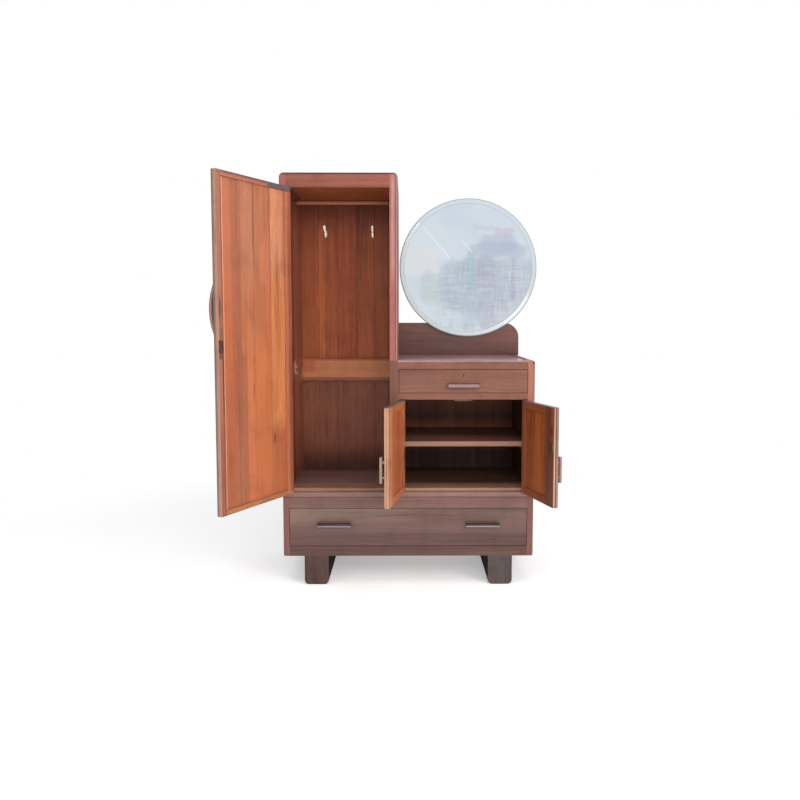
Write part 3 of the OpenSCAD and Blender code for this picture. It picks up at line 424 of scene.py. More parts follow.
def hooks_brass():
    """The coat hooks: painted highlights on the wire and the plates, painted shade on the plates and
    the side hook, and a painted glow.
    """
    s = new_sheet("hook brass")
    x, y, z = s.axes()
    wire = y.step(0.4450, 0.4440)
    worn = s.noise(x * 120, y * 120, z * 120, 3.0, 0.6)
    # The pale colours of the wire are painted highlights
    bright = s.mix(worn.step(0.35, 0.65), linear((240, 214, 172)), linear((255, 250, 226)))
    # Plates darkened with painted shade, with spots of painted highlight
    plate_shade_and_highlights = linear((58, 34, 26))
    for spot in HOOK_HIGHLIGHTS:
        share, over = knot(*spot)(s, x, y, z)
        plate_shade_and_highlights = s.mix(share, plate_shade_and_highlights, linear(over))
    # The hook on the side wall, darkened with painted shade
    side_hook_shade = s.mix(x.step(-0.506, -0.494), linear((150, 108, 84)), linear((84, 48, 36)))
    colour = s.mix(y.step(0.35, 0.30), s.mix(wire, plate_shade_and_highlights, bright), side_hook_shade)
    return s.finish(
        colour,
        0.3 + worn * 0.2,
        worn,
        0.0001,
        Coat_Weight=wire * 0.6,
        # A painted glow in the hooks' own colour
        Emission_Color=colour,
        Emission_Strength=0.4,
    )


def silvered():
    """Mirror glass: clear in front, pale over its bevel, dark at its rim, painted behind.

    The bevel is clear too on its upper right. Elsewhere it would show the wood beside it, so there
    it is matt and its pale colour is a painted reflection.
    """
    s = new_sheet("mirror silver")
    x, y, z = s.axes(tuple(at(MIRROR_X, MIRROR_Y, MIRROR_Z)))
    radius = (x * x + z * z).math("SQRT")
    edge = MIRROR_R / 1000
    inner = edge - BEVEL_W / 1000
    bevel = radius.step(inner - 0.0005, inner + 0.0005)
    line = radius.band(inner - 0.003, inner, 0.001)
    rim = radius.step(edge - 0.006, edge - 0.0035)
    behind = y.step(0.0052, 0.0056)
    haze = s.noise(x * 5, y * 5, z * 5, 3.0, 0.55)
    speck = s.noise(x * 60, y * 60, z * 60, 3.0, 0.7).step(0.66, 0.8)
    aged = speck * radius.step(0.22, 0.28) * (1 - bevel)
    colour = s.mix(haze, linear((246, 250, 252)), linear((238, 243, 247)))
    bright = bevel * (x * 0.76 + z * 0.65).step(-0.045, -0.03)
    # Off its upper right, the bevel's pale colour is a painted reflection
    slope = s.mix(bright, linear((204, 213, 217)), linear((246, 249, 250)))
    colour = s.mix(bevel, colour, slope)
    colour = s.mix(line * 0.5, colour, linear((206, 214, 220)))
    colour = s.mix(aged * 0.3, colour, linear((150, 150, 145)))
    colour = s.mix(rim * 0.8, colour, linear((96, 110, 106)))
    colour = s.mix(behind, colour, linear((104, 84, 72)))
    clear = (1 - rim) * (1 - behind) * (1 - bevel + bright)
    return s.finish(
        colour,
        1.0 - clear * 0.98 + aged * 0.1 + bright * 0.1,
        Metallic=clear,
        Specular_IOR_Level=0.0,
    )


# Shapes


def patch(points, wrap=False):
    """Vertices and four-sided faces of a grid of points; wrap joins its last column to its first."""
    rows, columns = points.shape[:2]
    index = np.arange(rows * columns).reshape(rows, columns)
    if wrap:
        index = np.concatenate([index, index[:, :1]], axis=1)
    quads = np.stack([index[:-1, :-1], index[:-1, 1:], index[1:, 1:], index[1:, :-1]], axis=-1)
    return points.reshape(-1, 3), quads.reshape(-1, 4)


def piece(name, patches, body, material):
    """One object made of several grids, riding on a body of the frame."""
    shift = 0
    vertices = []
    faces = []
    for points, quads in patches:
        vertices.append(points)
        faces.append(quads + shift)
        shift += len(points)
    mesh = bpy.data.meshes.new(name)
    mesh.from_pydata(np.concatenate(vertices), [], np.concatenate(faces))
    mesh.polygons.foreach_set("use_smooth", np.full(len(mesh.polygons), True))
    mesh.materials.append(material)
    mesh.validate()
    mesh.update()
    made = bpy.data.objects.new(name, mesh)
    bpy.context.scene.collection.objects.link(made)
    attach(made, body)


ASKEW = (0.31, 0.52, 0.79)
BACKWARD = (0, 1, 0)


def turned(centre, normal, profile, count, turn=0.0, slot=0.0):
    """A small turned head: radius and height along a profile, carried round its normal.

    Each point is the centre, plus the radius times the cosine and sine of count equal angles
    along two sides that are square to the normal, plus the height along the normal. A slot
    lowers every point whose distance from a line across the head is under its half.
    """
    normal = np.array(normal, float) / np.linalg.norm(normal)
    side = np.cross(normal, ASKEW)
    side /= np.linalg.norm(side)
    up = np.cross(normal, side)
    angle = np.arange(count) * 2 * np.pi / count + turn
    radius = np.array([p[0] for p in profile])[:, None]
    height = np.array([p[1] for p in profile])[:, None] + 0 * angle[None, :]
    u = radius * np.cos(angle)
    v = radius * np.sin(angle)
    if slot:
        line = np.abs(u * np.cos(turn) + v * np.sin(turn))
        height = height - 0.5 * slot * (line < slot / 2) * (radius < profile[-1][0] * 1.01)
    points = (
        np.array(centre) + u[..., None] * side + v[..., None] * up + height[..., None] * normal
    )
    return patch(points[::-1], wrap=True)


def screw(centre, normal, radius, turn, crown=0.35):
    """A countersunk screw head: nearly flat, with a slot across it. Sizes in millimetres.

    Its height is the crown times 1 less the square of the radius as a share of the whole.
    """
    r = radius / 1000
    profile = [(r * k, crown / 1000 * (1 - k * k) + 0.0001) for k in np.linspace(0.001, 1, 12)]
    profile.append((r, -0.0004))
    return turned(centre, normal, profile, 40, turn, slot=r * 0.3)


def nail(centre):
    """A flat round nail head, a little proud of the back."""
    r = NAIL_R / 1000
    profile = [(r * 0.01, 0.0007), (r * 0.6, 0.00065), (r * 0.92, 0.0005), (r, 0.0002)]
    profile.append((r, -0.0002))
    return turned(centre, BACKWARD, profile, 12)


def hung(line, angle, side, y, z):
    """A point on the hinge edge of an open door: y from its outer face, z from its foot."""
    a = math.radians(angle)
    back = HINGE_OUT + y
    across = math.cos(a) * EDGE_GAP + math.sin(a) * back
    out = -HINGE_OUT - math.sin(a) * EDGE_GAP + math.cos(a) * back
    return at(line + side * across, out, DOOR_Z + z)


def edge_way(angle, side):
    """The direction out of the hinge edge of an open door, in the shared frame."""
    a = math.radians(angle)
    return (-side * math.cos(a), math.sin(a), 0)


# Materials of the nodes

# Corner at the foot of each door's hinge line, and how far the door is turned about it
TALL = (tuple(at(TALL_LINE, -HINGE_OUT, DOOR_Z)), -TALL_OPEN)
LEFT = (tuple(at(LEFT_LINE, -HINGE_OUT, DOOR_Z)), -LEFT_OPEN)
RIGHT = (tuple(at(RIGHT_LINE, -HINGE_OUT, DOOR_Z)), 180 + RIGHT_OPEN)

brass = metal("hinge brass", (112, 92, 62), (178, 152, 104), 0.35, 0.5)
iron = metal("lock iron", (74, 44, 40), (104, 66, 60), 0.5, 0.6, 0.3)
bolt_metal = metal("bolt brass", (104, 78, 66), (150, 118, 98), 0.35, 0.3)
OUTER_BACK = zone((108, 72, 56), y=(458.5, 462), soft=0.5)


def dress(material, *names):
    """Gives CAD nodes a finish."""
    for name in names:
        for place in nodes[name].material_slots:
            place.material = material


def dress_base():
    """The feet, and the base with its long drawer's surroundings."""
    # Both feet have painted shade on the sides that face each other, and the right one is greyer
    feet_shade = zone((14, 9, 8), 0.95, x=(-346, 346), y=(3, 470), soft=1)
    dress(wood("foot wood", (88, 68, 64), plain("z", 3.0),
               [zone((88, 79, 78), x=(340, 460)), feet_shade],
               rough=0.85, coat=0.0, mirrored=0.1), "feet")
    dress(wood("base side wood", (120, 73, 65), plain("z", 5.0)),
          "base_side_left", "base_side_right")
    lower = zone((83, 51, 44), z=(100, 170))
    dress(wood("base rail wood", (117, 81, 73), plain("x", 7.0), [lower]),
          "base_rail_upper", "base_rail_lower")
    floors = (404, 420)
    seam = (60, 36, 28)
    dress(wood("inner wood", (92, 62, 48), plain("x", 25.0),
               # Ceiling of the tall cupboard, brightened with painted light, with painted shade
               # towards its front
               [zone((196, 112, 66), z=(1700, 1736.5), soft=0.3),
                zone((150, 82, 50), 0.7, y=(20, 70, 60), z=(1700, 1760)),
                # Floors: painted light in front, painted shade at the back, a light front edge and
                # two joints
                zone((126, 94, 84), x=(-520, -80), z=floors),
                zone((150, 116, 102), 0.7, y=(20, 60, 90), z=floors),
                zone((52, 32, 28), 0.6, y=(400, 450, 60), z=floors),
                zone((174, 129, 107), y=(20, 24.3), z=floors, soft=0.3),
                zone(seam, 0.8, y=(139, 141), z=floors, soft=0.8),
                zone(seam, 0.8, y=(259, 261), z=floors, soft=0.8)],
               rough=0.6, coat=0.05, worn=0.0),
          "column_top", "carcass_floors", "base_panels", "base_back",
          "bottom_drawer_runners", "top_drawer_runners")


def dress_column():
    """The tall cupboard: red varnish outside, bare orange wood inside."""
    front = (-1, 14)
    above = (975, 1760)
    crown = (1750, 1757)
    left_wall = (-514, -505)
    # The inner faces are darkened with painted shade, which gives way on the far part of the left
    # wall
    inside = zone((108, 62, 42), x=(-513, -78), y=(1.5, 470), soft=0.3)
    low_stile = zone((99, 61, 45), 0.9, x=(-90, -40), z=(383, 968), soft=8)
    edge_lines = [
        # Light upper part of the right front edge
        zone((176, 132, 126), 0.6, x=(-68, -57, 6), y=(-1, 20), z=(1400, 1700, 150)),
        # Painted shade on its rounding with a painted highlight line, the dark left rounding, and
        # the dark upper ends
        zone((104, 62, 58), 0.9, x=(-56, -40), y=front, z=above, soft=2),
        zone((168, 126, 122), 0.7, x=(-51, -48), y=front, z=above, soft=1.5),
        zone((84, 50, 50), 0.9, x=(-541, -537), y=front, z=above, soft=1.5),
        zone((84, 50, 50), 0.9, y=front, z=crown, soft=3),
    ]
    far_wall = zone((164, 94, 72), 0.8, x=left_wall, y=(250, 460, 90))
    rail_end = zone((176, 100, 66), 0.6, x=left_wall, y=(330, 460, 40), z=(851, 957, 4))
    dress(wood("column side wood", (150, 84, 74), plain("z", 9.0),
               [low_stile, *edge_lines, inside, far_wall, rail_end]),
          "column_side_left", "column_side_right")
    dress(wood("crown rail wood", (137, 74, 58), plain("x", 11.0),
               # Painted shade along its lower edge, and a dark upper edge
               [zone((112, 60, 44), 0.7, z=(1690, 1700, 8)),
                zone((70, 36, 34), 0.95, z=crown, soft=3)]), "column_top_rail")
    wide = (-512, -79)
    dress(wood("column back wood", (162, 84, 48), boarded(-520, 89.8, 0.3, 19.0),
               # Duller below the broad rail, and painted shade at the foot, under the ceiling and at
               # the right
               [zone((130, 76, 58), 0.9, z=(400, 851), soft=20),
                zone((62, 32, 24), 0.85, z=(400, 425, 140)),
                zone((84, 42, 26), 0.6, z=(1680, 1760, 260)),
                zone((78, 40, 30), 0.6, x=(-92, -60, 14)),
                # A light streak, redder boards in the middle, and flecks of light and dark
                zone((206, 112, 66), 0.5, x=(-432, -404), z=(980, 1520, 120), ragged=26),
                zone((150, 64, 40), 0.5, x=(-340, -250, 20), z=(1000, 1480, 150)),
                flecks((190, 102, 62), 0.25, (-440, -180), (957, 1600), 22, 220, 30),
                flecks((112, 66, 52), 0.35, wide, (957, 1690), 34, 260, 30),
                flecks((92, 62, 52), 0.4, wide, (420, 851), 26, 150, 30), OUTER_BACK],
               rough=0.6, coat=0.05, worn=0.0, contrast=0.8), "column_back_boards")
    dress(wood("mid rail wood", (190, 120, 78), plain("x", 23.0),
               # Painted shade along its upper and lower edges, and a red upper corner on the left
               [zone((150, 70, 52), 0.8, z=(950, 960), soft=4),
                zone((172, 84, 60), 0.7, x=(-512, -470, 40), z=(900, 950), soft=20),
                zone((136, 74, 52), 0.8, z=(850, 862), soft=8)],
               rough=0.5, coat=0.1), "column_mid_rail")
    socket = (84, 48, 36)
    dress(wood("rod wood", (160, 96, 66), plain("x", 29.0),
               [zone(socket, 0.9, x=(-513, -499), soft=1),
                zone(socket, 0.9, x=(-92, -78), soft=1)], coat=0.1),
          "hanging_rod", "rod_sockets")


def dress_dresser():
    """The dresser: brown fronts, a glossy top, an inside darkened with painted shade."""
    dress(wood("front rail wood", (124, 76, 60), plain("x", 13.0),
               # The rail below the doors is greyer, and the top rail has a painted highlight along
               # its upper edge
               [zone((127, 95, 85), z=(380, 406)),
                zone((156, 128, 134), 0.9, z=(968, 974), soft=3)]),
          "carcass_bottom_rail", "dresser_top_rail", "drawer_rail", "door_stop_block")
    # The inner faces are darkened with painted shade
    inside = zone((60, 33, 22), x=(-41, 511), y=(1.5, 470), soft=0.3)
    shoulder = zone((70, 44, 44), 0.8, x=(532, 541), z=(955, 974), soft=3)
    outer_line = zone((120, 78, 66), 0.8, x=(536, 541), y=(-1, 14), z=(400, 960), soft=1.5)
    dress(wood("dresser side wood", (156, 96, 78), plain("z", 15.0),
               [zone((122, 78, 62), x=(-50, -30)), shoulder, outer_line, inside]),
          "dresser_side", "dresser_cheek")
    dress(wood("dresser top wood", (152, 112, 112), plain("x", 17.0),
               # A pale middle that is a painted reflection, and a dark right end without polish
               [zone((184, 152, 164), 0.8, x=(40, 420, 160), y=(-10, 90, 160)),
                zone((84, 56, 58), 0.9, x=(505, 545, 30))],
               rough=0.3, coat=0.6, gloss=0.12, contrast=0.6, mirrored=0.4, relief=0.00005,
               dull=zone((0, 0, 0), x=(505, 545, 20))), "dresser_top")
    dress(wood("dresser back wood", (52, 28, 22), boarded(-44, 93.67, 0.4, 21.0),
               # Darkened with painted shade, less at their upper ends and around the shelf
               [zone((130, 72, 48), 0.9, z=(800, 990, 150)),
                zone((118, 66, 44), 0.8, z=(585, 600, 90)), OUTER_BACK],
               rough=0.6, coat=0.05, worn=0.0), "dresser_back_boards")
    shelf_front = (20, 32.3)
    dress(wood("shelf wood", (110, 72, 56), plain("x", 27.0),
               # Light front edge with a darker lower line, and painted shade towards the back
               [zone((148, 106, 90), y=shelf_front, soft=0.3),
                zone((96, 64, 50), 0.8, y=shelf_front, z=(597, 601), soft=0.8),
                zone((64, 40, 32), 0.7, y=(260, 450, 120), z=(610, 625))],
               rough=0.55, coat=0.1), "dresser_shelf", "shelf_cleats")
    dress(wood("backboard wood", (98, 66, 57), plain("x", 31.0),
               # Light right end, redder right half, and a dark foot
               [zone((140, 92, 82), 0.5, x=(532, 540), soft=3),
                zone((104, 66, 56), 0.8, x=(380, 540, 160), z=(960, 1140)),
                zone((74, 46, 42), 0.6, z=(960, 1000, 50))]), "mirror_backboard")
    dress(wood("support wood", (108, 80, 60), plain("z", 33.0), rough=0.65, coat=0.0,
               worn=0.0), "mirror_supports", "mirror_backing")


TALL_OUTSIDE = zone((128, 78, 66), y=(0, 9), soft=1)


def dress_tall_frame():
    """The frame of the tall door: bare orange inside, greyed edges, varnish outside."""
    free_edge = (TALL_W + 0.4, 440)
    free_stile = (405, 431)
    dress(wood("tall frame wood", (176, 108, 76),
               framed(TALL_W + EDGE_GAP, TALL_H, hinge_stile=39, free_stile=24, rail=20,
                      seed=35.0, place=TALL),
               # Free stile, pale above and dark below; the hinge stile has a dark outer strip
               [zone((158, 104, 84), 0.9, x=free_stile, z=(400, 1290, 150)),
                zone((134, 86, 72), 0.9, x=free_stile, z=(0, 260, 150)),
                zone((156, 76, 56), 0.8, x=(0, 18), soft=6, ragged=6),
                # The joint between free stile and boards, with a dark crack beside the lock
                zone((128, 74, 56), 0.8, x=(405.5, 409), soft=1.5),
                zone((60, 26, 22), 0.8, x=(406, 410), z=(400, 610, 30), soft=1.5, ragged=3),
                # Upper rail, dark along its edge and grey by the hinges; the lower one is pale
                zone((146, 90, 72), 0.7, x=(60, 420), z=(1272, 1290), soft=5, ragged=10),
                zone((92, 66, 62), 0.8, x=(60, 400), z=(1280, 1290), soft=3, ragged=8),
                zone((84, 78, 84), 0.9, x=(0, 130, 30), z=(1266, 1290), soft=4, ragged=10),
                zone((176, 120, 72), 0.7, x=(0, 400), z=(-2, 12), soft=4, ragged=8),
                # Stains above and around the lock
                knot((92, 66, 56), 419, 780, 22, 130),
                knot((104, 74, 60), 417, 690, 16, 90),
                zone((104, 58, 50), 0.8, x=(410, 431), z=(596, 660), soft=4, ragged=6),
                TALL_OUTSIDE,
                # Free edge: grey, lighter by the inside and darker by the outside
                zone((128, 104, 92), x=free_edge, soft=0.3),
                zone((180, 128, 106), 0.9, x=free_edge, y=(17, 28), soft=3),
                zone((104, 88, 80), 0.7, x=free_edge, y=(-1, 8), soft=4)],
               rough=0.5, coat=0.15), "tall_door_frame")


def dress_tall_boards():
    """The boards of the tall door: orange, with a strip of pale sapwood by the hinges."""
    line = (124, 66, 52)
    sapwood = (60, 122)
    dress(wood("tall board wood", (172, 97, 60),
               boarded(32, 95.25, 0.3, 37.0, TALL),
               # The strip of sapwood, palest at its upper end
               [zone((190, 104, 66), 0.6, x=(40, 150), z=(0, 1290), soft=8, ragged=20),
                zone((210, 130, 76), 0.7, x=(44, 120, 6), z=(330, 1290, 80), ragged=8),
                zone((226, 152, 110), 0.7, x=(56, 117, 8), z=(1000, 1290, 160), ragged=12),
                flecks((244, 186, 138), 0.5, sapwood, (980, 1290), soft=5),
                flecks((232, 160, 108), 0.35, sapwood, (330, 1000), 8, 90, 5),
                flecks((206, 120, 66), 0.6, sapwood, (300, 1290), 8, 120, 5),
                # Worn and bright flecks on the other boards
                flecks((178, 124, 84), 0.4, (140, 330), (330, 900), 26, 160, 40),
                flecks((200, 104, 56), 0.5, (330, 405), (200, 1100), 16, 220),
                flecks((214, 122, 66), 0.5, (150, 240), (950, 1120), 30, 140, 20),
                # Paler above, dark joints, and differences between the boards
                zone((178, 114, 90), 0.5, x=(30, 430), z=(1000, 1290, 200)),
                zone((150, 96, 68), 0.5, x=(140, 430, 60), z=(0, 420, 260)),
                zone(line, 0.7, x=(224, 228), z=(1060, 1290, 80), soft=3),
                zone(line, 0.5, x=(318, 322), z=(1060, 1290, 80), soft=3),
                zone((150, 84, 58), 0.7, x=(304, 344, 14), z=(420, 1290, 260)),
                zone((206, 112, 64), 0.6, x=(132, 262, 14), z=(40, 560, 200)),
                # A painted highlight line and a painted shade line beside the free stile
                zone((226, 168, 138), 0.8, x=(391, 394.5), soft=1.5, ragged=2),
                zone((112, 60, 44), 0.8, x=(397, 402), z=(300, 1200, 120), soft=1.5, ragged=2),
                zone((182, 90, 50), 0.35, x=(350, 396, 30)),
                # Knots
                knot((120, 68, 46), 112, 250, 24, 60),
                knot((138, 76, 50), 232, 460, 12, 90),
                TALL_OUTSIDE],
               rough=0.5, coat=0.15), "tall_door_boards")


# Free edge and upper edge of both small doors
SMALL_FREE = (SMALL_W + 0.4, 280)
SMALL_TOP = zone((100, 84, 86), x=(-5, 280), z=(396.4, 400), soft=0.3)


def dress_left_door():
    """The left small door: bare orange inside, a pale free edge, varnish outside."""
    outer = zone((128, 86, 72), y=(0, 9), soft=1)
    edge = [
        zone((191, 138, 103), x=SMALL_FREE, soft=0.3),
        zone((150, 112, 92), 0.8, x=SMALL_FREE, y=(12, 15.5), soft=1),
        zone((150, 92, 60), 0.9, x=SMALL_FREE, y=(22.5, 28), soft=0.8),
        SMALL_TOP,
    ]
    dress(wood("left frame wood", (184, 108, 66),
               framed(SMALL_W + EDGE_GAP, SMALL_H, hinge_stile=27, free_stile=60, rail=30,
                      seed=39.0, place=LEFT),
               [zone((204, 140, 96), 0.6, x=(235, 272)), outer,
                knot((96, 58, 44), 262, 178, 12, 60), *edge], contrast=1.2),
          "left_door_frame")
    dress(wood("left board wood", (182, 98, 58), boarded(20, 100, 0.3, 41.0, LEFT),
               [outer], contrast=1.3), "left_door_boards")


def dress_right_door():
    """The right small door. Its hinges are on its right, so its y is negative inwards."""
    outer = zone((128, 86, 72), y=(-9, 0), soft=1)
    edge = [
        zone((150, 98, 84), x=SMALL_FREE, soft=0.3),
        zone((138, 110, 88), x=SMALL_FREE, y=(-14, 0), soft=0.5),
        zone((76, 48, 44), 0.9, x=SMALL_FREE, y=(-17.5, -14), soft=0.8),
        zone((206, 156, 130), 0.8, x=SMALL_FREE, y=(-23, -20), soft=0.8),
        SMALL_TOP,
    ]
    dress(wood("right frame wood", (136, 72, 44),
               framed(SMALL_W + EDGE_GAP, SMALL_H, hinge_stile=27, free_stile=60, rail=30,
                      seed=43.0, place=RIGHT),
               # The free stile is dark, with a redder upper end and a knot beside the lock
               [zone((92, 58, 42), 0.8, x=(211, 248), soft=6),
                zone((96, 64, 50), 0.8, x=(248, 270), z=(0, 200, 60), soft=6),
                zone((144, 76, 56), 0.7, x=(250, 270), z=(240, 400, 40), soft=6),
                knot((70, 30, 34), 256, 300, 20, 70), outer, *edge], contrast=1.2),
          "right_door_frame")
    dress(wood("right board wood", (162, 86, 44), boarded(20, 100, 0.3, 45.0, RIGHT),
               [outer], contrast=1.3), "right_door_boards")


def dress_drawers():
    """Drawer fronts in varnish, and their boxes in bare pale wood."""
    dress(wood("drawer front wood", (117, 72, 57), plain("x", 47.0),
               # The long front is greyer, paler at its upper ends and dark along its foot
               [zone((101, 71, 64), z=(150, 340)),
                zone((126, 100, 86), 0.8, x=(-520, -200, 330), z=(300, 340, 50)),
                zone((112, 84, 74), 0.6, x=(330, 520, 200), z=(290, 340, 50)),
                zone((84, 55, 50), 0.8, z=(150, 215), soft=25)]),
          "top_drawer_front", "bottom_drawer_front")
    dress(wood("small drawer wood", (158, 122, 88), drawered(-37, 507, 12, 49.0),
               rough=0.65, coat=0.0, worn=0.0), "top_drawer_box", "top_drawer_bottom")
    dress(wood("long drawer wood", (150, 114, 82), drawered(-510, 510, 12, 51.0),
               rough=0.65, coat=0.0, worn=0.0), "bottom_drawer_box")


def dress_fittings():
    """Handles, hinges, locks, hooks and the mirror."""
    face = (-60, -6)
    # The pale lilac tone of the handles is partly a painted sheen
    dress(wood("drawer handle wood", (154, 136, 143), plain("x", 53.0),
               # Long drawer: painted shade on the upper side and a painted shade line below
               [zone((38, 23, 25), y=face, z=(265, 280), soft=1.5),
                zone((60, 42, 44), 0.8, y=face, z=(250, 258), soft=1.5),
                # Small drawer: redder, with painted shade on the upper and lower sides
                zone((144, 104, 105), 0.9, z=(850, 880), soft=1.5),
                zone((70, 40, 36), z=(873.5, 880), soft=1),
                zone((84, 52, 48), 0.9, z=(850, 859), soft=1.5)],
               rough=0.35, coat=0.4, contrast=0.6),
          "top_drawer_handle", "bottom_drawer_handles")
    dress(wood("door handle wood", (150, 112, 104), plain("z", 55.0),
               [zone((160, 134, 120), x=(-300, 0))], rough=0.35, coat=0.5, contrast=0.6),
          "tall_door_handle", "left_door_handle", "right_door_handle")
    dress(brass, "carcass_hinge_leaves", "hinge_pins", "tall_door_leaves", "left_door_leaves",
          "right_door_leaves")
    dress(hooks_brass(), "coat_hooks")
    dress(iron, "tall_door_lock", "right_door_lock", "top_drawer_lock")
    dress(bolt_metal, "tall_lock_bolt", "right_lock_bolt", "top_lock_bolt")
    dress(silvered(), "mirror_glass")


dress_base()
dress_column()
dress_dresser()
dress_tall_frame()
dress_tall_boards()
dress_left_door()
dress_right_door()
dress_drawers()
dress_fittings()

# Small fittings

TALL_HINGES = (150.0, 643.0, 1136.0)
SMALL_HINGES = (45.0, 352.0)
LEAF_SCREWS = ((8.0, -24.0), (14.0, 0.0), (8.0, 24.0))
LEAF_SCREW_R = 2.6
POST_SCREW_R = 4.0
NAIL_R = 2.4

DOORS = (
    # Body, hinge line, angle at rest, 1 where the hinges are on the left of the door and -1 on
    # its right, and heights of the hinges above its foot
    ("tall_door", TALL_LINE, TALL_OPEN, 1, TALL_HINGES),
    ("left_door", LEFT_LINE, LEFT_OPEN, 1, SMALL_HINGES),
    ("right_door", RIGHT_LINE, RIGHT_OPEN, -1, SMALL_HINGES),
)
NAIL_ROWS = (
    # First and last x, how many, heights, and places beside each x
    (-475, -109, 5, (398, 904, 1728), (-14, 14)),
    (0, 480, 6, (398, 609, 940), (-14, 14)),
    (-500, 500, 11, (131, 374), (0,)),
)


def add_hinge_screws():
    """Three screws in each hinge leaf, on the carcass and on the doors."""
    fixed = [
        screw(
            at(line - side * EDGE_GAP, y, DOOR_Z + height + z), (side, 0, 0), LEAF_SCREW_R, k * 1.1
        )
        for body, line, angle, side, heights in DOORS
        for height in heights
        for k, (y, z) in enumerate(LEAF_SCREWS)
    ]
    piece("carcass_hinge_screws", fixed, "carcass", brass)
    for body, line, angle, side, heights in DOORS:
        heads = [
            screw(hung(line, angle, side, y, height + z), edge_way(angle, side), LEAF_SCREW_R, k)
            for height in heights
            for k, (y, z) in enumerate(LEAF_SCREWS)
        ]
        piece(body + "_hinge_screws", heads, body, brass)


def add_post_screws():
    """Four screws up the back of each mirror post, flush with it."""
    heads = [
        screw(at(MIRROR_X + side * 110, POST_DEPTH - 0.08, z), BACKWARD, POST_SCREW_R, side, 0)
        for side in (-1, 1)
        for z in (1000, 1090, 1250, 1520)
    ]
    piece("mirror_post_screws", heads, "carcass", iron)


def add_back_nails():
    """Rows of nails through the back boards and the back of the base."""
    heads = [
        nail(at(x + beside, DEPTH, z))
        for first, last, count, heights, besides in NAIL_ROWS
        for x in np.linspace(first, last, count)
        for z in heights
        for beside in besides
    ]
    piece("back_nails", heads, "carcass", iron)


add_hinge_screws()
add_post_screws()
add_back_nails()

# Stage, camera and light


def ray_kinds(s):
    """1 for a ray of the camera, of a reflection and through glass, as three values."""
    outs = s.add("ShaderNodeLightPath").socket.node.outputs
    kinds = ("Is Camera Ray", "Is Glossy Ray", "Is Transmission Ray")
    return [Value(s, outs[kind]) for kind in kinds]


def floor_material():
    """A pale floor that keeps the object's shadow and fades to white away from it."""
    s = new_sheet("pale floor")
    x, y, z = s.axes()
    near = (x * x + y * y).math("SQRT").step(2.6, 1.6)
    straight, glossy, through = ray_kinds(s)
    direct = (straight + glossy + through).math("MINIMUM", 1.0)
    cloth = s.add("ShaderNodeBsdfDiffuse", None, {"Color": (0.86, 0.86, 0.86, 1)})
    lift = s.add("ShaderNodeEmission", None, {"Color": WHITE, "Strength": 0.32})
    lifted = s.add("ShaderNodeAddShader", None, [cloth, lift])
    white = s.add("ShaderNodeEmission", None, {"Color": WHITE, "Strength": 1.0})
    shown = s.add("ShaderNodeMixShader", None, [near, white, lifted])
    both = s.add("ShaderNodeMixShader", None, [direct, cloth, shown])
    s.add("ShaderNodeOutputMaterial", None, [both])
    return s.owner


def make_stage():
    """The floor plane, in metres, far larger than the view."""
    points = np.array([[[-40, -12, 0], [40, -12, 0]], [[-40, 60, 0], [40, 60, 0]]], float)
    mesh = bpy.data.meshes.new("floor")
    vertices, quads = patch(points)
    mesh.from_pydata(vertices, [], quads)
    mesh.materials.append(floor_material())
    floor = bpy.data.objects.new("floor", mesh)
    bpy.context.scene.collection.objects.link(floor)


YARD = (
    # Soft patches that the mirror shows, by the slopes of its view to the right and up:
    # left, right, low, high, blur as a share of their size, colour, share
    (-0.016, 0.070, 0.088, 0.130, 0.5, (226, 231, 234), 0.6),
    (-0.020, 0.053, 0.060, 0.098, 0.4, (231, 230, 232), 0.9),
    (0.046, 0.142, 0.008, 0.082, 0.3, (184, 194, 206), 0.8),
    (0.020, 0.050, 0.017, 0.066, 0.45, (202, 211, 208), 0.6),
    (0.126, 0.182, 0.018, 0.084, 0.3, (199, 203, 213), 0.7),
    (0.103, 0.170, -0.030, 0.016, 0.2, (212, 207, 212), 0.6),
    (0.086, 0.166, 0.084, 0.106, 0.4, (188, 198, 212), 0.7),
    (0.102, 0.154, 0.090, 0.118, 0.4, (186, 196, 211), 0.6),
    (0.098, 0.124, -0.016, 0.087, 0.2, (196, 191, 208), 0.6),
    (0.098, 0.124, 0.062, 0.087, 0.4, (182, 184, 199), 0.4),
    (0.082, 0.095, 0.040, 0.096, 0.25, (182, 203, 210), 0.6),
    (0.146, 0.153, 0.022, 0.086, 0.2, (192, 180, 200), 0.6),
    (0.122, 0.150, 0.115, 0.127, 0.3, (212, 196, 210), 0.6),
    (0.094, 0.130, 0.123, 0.129, 0.4, (212, 208, 218), 0.6),
    (0.062, 0.103, -0.014, 0.026, 0.3, (192, 204, 214), 0.6),
    (-0.040, 0.080, -0.050, 0.014, 0.2, (222, 228, 232), 0.7),
)
GLINTS = (
    # Slanting bright lines: left, right, and their height above a line that falls to the right
    (0.0239, 0.0593, 0.1529),
    (0.0773, 0.0900, 0.1966),
)
GLINT_FALL = 1.16
WHITE = (1, 1, 1, 1)


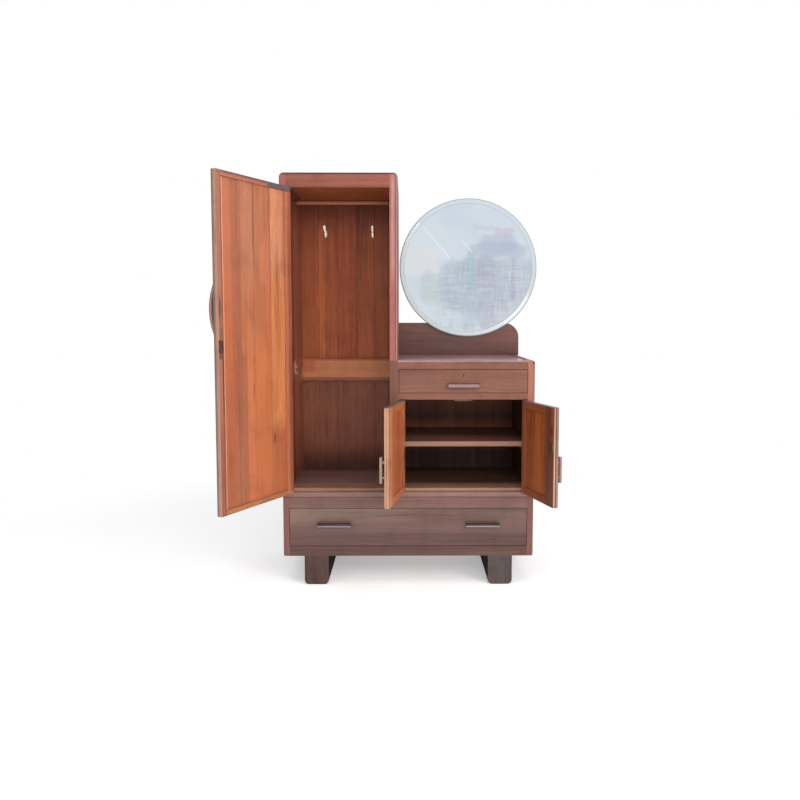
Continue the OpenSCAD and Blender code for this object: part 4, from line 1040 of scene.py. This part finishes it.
def yard_colour(s, u, v):
    """What the mirror shows at slopes u to the right and v up: a pale yard, without a picture.

    Each patch covers where the fourth powers of its offsets, as shares of its half sizes,
    come to less than 1. Noise bends the patches and crosses them with bars.
    """
    yard = s.mix(v.step(0.02, 0.14), linear((224, 228, 232)), linear((222, 228, 236)))
    cloud = s.noise(u * 22, v * 22, 0.3, 3.0, 0.6)
    yard = s.mix(cloud.step(0.45, 0.7) * 0.4, yard, linear((206, 214, 226)))
    bent_u = u + (s.noise(u * 40, v * 40, 0.7, 3.0, 0.6) - 0.5) * 0.012
    bent_v = v + (s.noise(u * 40, v * 40, 9.7, 3.0, 0.6) - 0.5) * 0.018
    for left, right, low, high, blur, colour, share in YARD:
        across = (bent_u - (left + right) / 2) / ((right - left) / 2)
        up = (bent_v - (low + high) / 2) / ((high - low) / 2)
        away = across.math("POWER", 4) + up.math("POWER", 4)
        amount = away.step(1 + 2 * blur, 1 - 2 * blur) * share
        yard = s.mix(amount * (cloud * 0.8 + 0.6), yard, linear(colour))
    bars = s.noise(u * 500, v * 40, 3.1, 2.0, 0.6) + s.noise(u * 40, v * 500, 5.3, 2.0, 0.6)
    below = v.step(0.09, 0.07) * u.step(0.02, 0.05)
    yard = s.mix(bars.step(0.98, 1.25) * below * 0.6, yard, linear((222, 229, 234)))
    yard = s.mix(bars.step(0.95, 0.75) * below * 0.4, yard, linear((160, 170, 184)))
    for left, right, level in GLINTS:
        line = (v + u * GLINT_FALL).band(level, level + 0.001, 0.001)
        yard = s.mix(u.band(left, right, 0.002) * line * 0.8, yard, WHITE)
    return yard


def make_world():
    """White to the camera and in reflections, and an even soft light on everything else.

    Where the mirror looks, the reflections are tinted like the yard that it faces.
    """
    world = bpy.data.worlds.new("soft daylight")
    s = Sheet(world)
    straight, glossy, through = ray_kinds(s)
    direct = (straight + glossy + through).math("MINIMUM", 1.0)
    x, y, z = s.split(s.add("ShaderNodeTexCoord", out="Generated"))
    ahead = (y * -1).step(0.7, 0.85) * (1 - straight)
    depth = (y * -1).math("MAXIMUM", 0.1)
    seen = s.mix(ahead, WHITE, yard_colour(s, x / depth, z / depth))
    clear = s.add("ShaderNodeBackground", None, {"Color": seen, "Strength": 1.0})
    soft = s.add("ShaderNodeBackground", None, {"Color": (0.97, 0.985, 1, 1), "Strength": 0.5})
    both = s.add("ShaderNodeMixShader", None, [direct, soft, clear])
    s.add("ShaderNodeOutputWorld", None, [both])
    bpy.context.scene.world = world


def make_camera():
    """The view of the photograph: lens, height and slight turn found by fitting its lines."""
    data = bpy.data.cameras.new("camera")
    data.sensor_width = 36.0
    data.lens = 32.02
    data.shift_x = -0.0140
    data.shift_y = -0.0357
    camera = bpy.data.objects.new("camera", data)
    camera.location = Vector(at(-5.49, -3014.3, 1150.2))
    camera.rotation_euler = (math.radians(90 - 4.25), 0, math.radians(-0.34))
    bpy.context.scene.collection.objects.link(camera)
    bpy.context.scene.camera = camera


def lamp(name, place, aim, size, power, colour=(1, 1, 1)):
    """A square soft lamp at a place, turned to shine at a point and unseen in reflections."""
    data = bpy.data.lights.new(name, "AREA")
    data.size = size
    data.energy = power
    data.color = colour
    made = bpy.data.objects.new(name, data)
    made.location = place
    made.visible_glossy = False
    made.rotation_euler = (Vector(aim) - Vector(place)).to_track_quat("-Z", "Y").to_euler()
    bpy.context.scene.collection.objects.link(made)


make_stage()
make_world()
make_camera()
lamp("right_window", (3.2, -3.4, 2.8), (0.0, 0.0, 0.9), 2.4, 110, (1.0, 0.985, 0.96))
lamp("front_window", (0.6, -4.6, 1.9), (-0.1, 0.2, 0.9), 2.4, 95)
lamp("left_fill", (-3.2, -3.6, 2.6), (0.0, 0.0, 0.9), 3.0, 30, (0.95, 0.97, 1.0))
lamp("top_soft", (0.0, -0.6, 4.2), (0.0, 0.1, 0.8), 3.0, 50)

bpy.context.scene.view_settings.view_transform = "Standard"
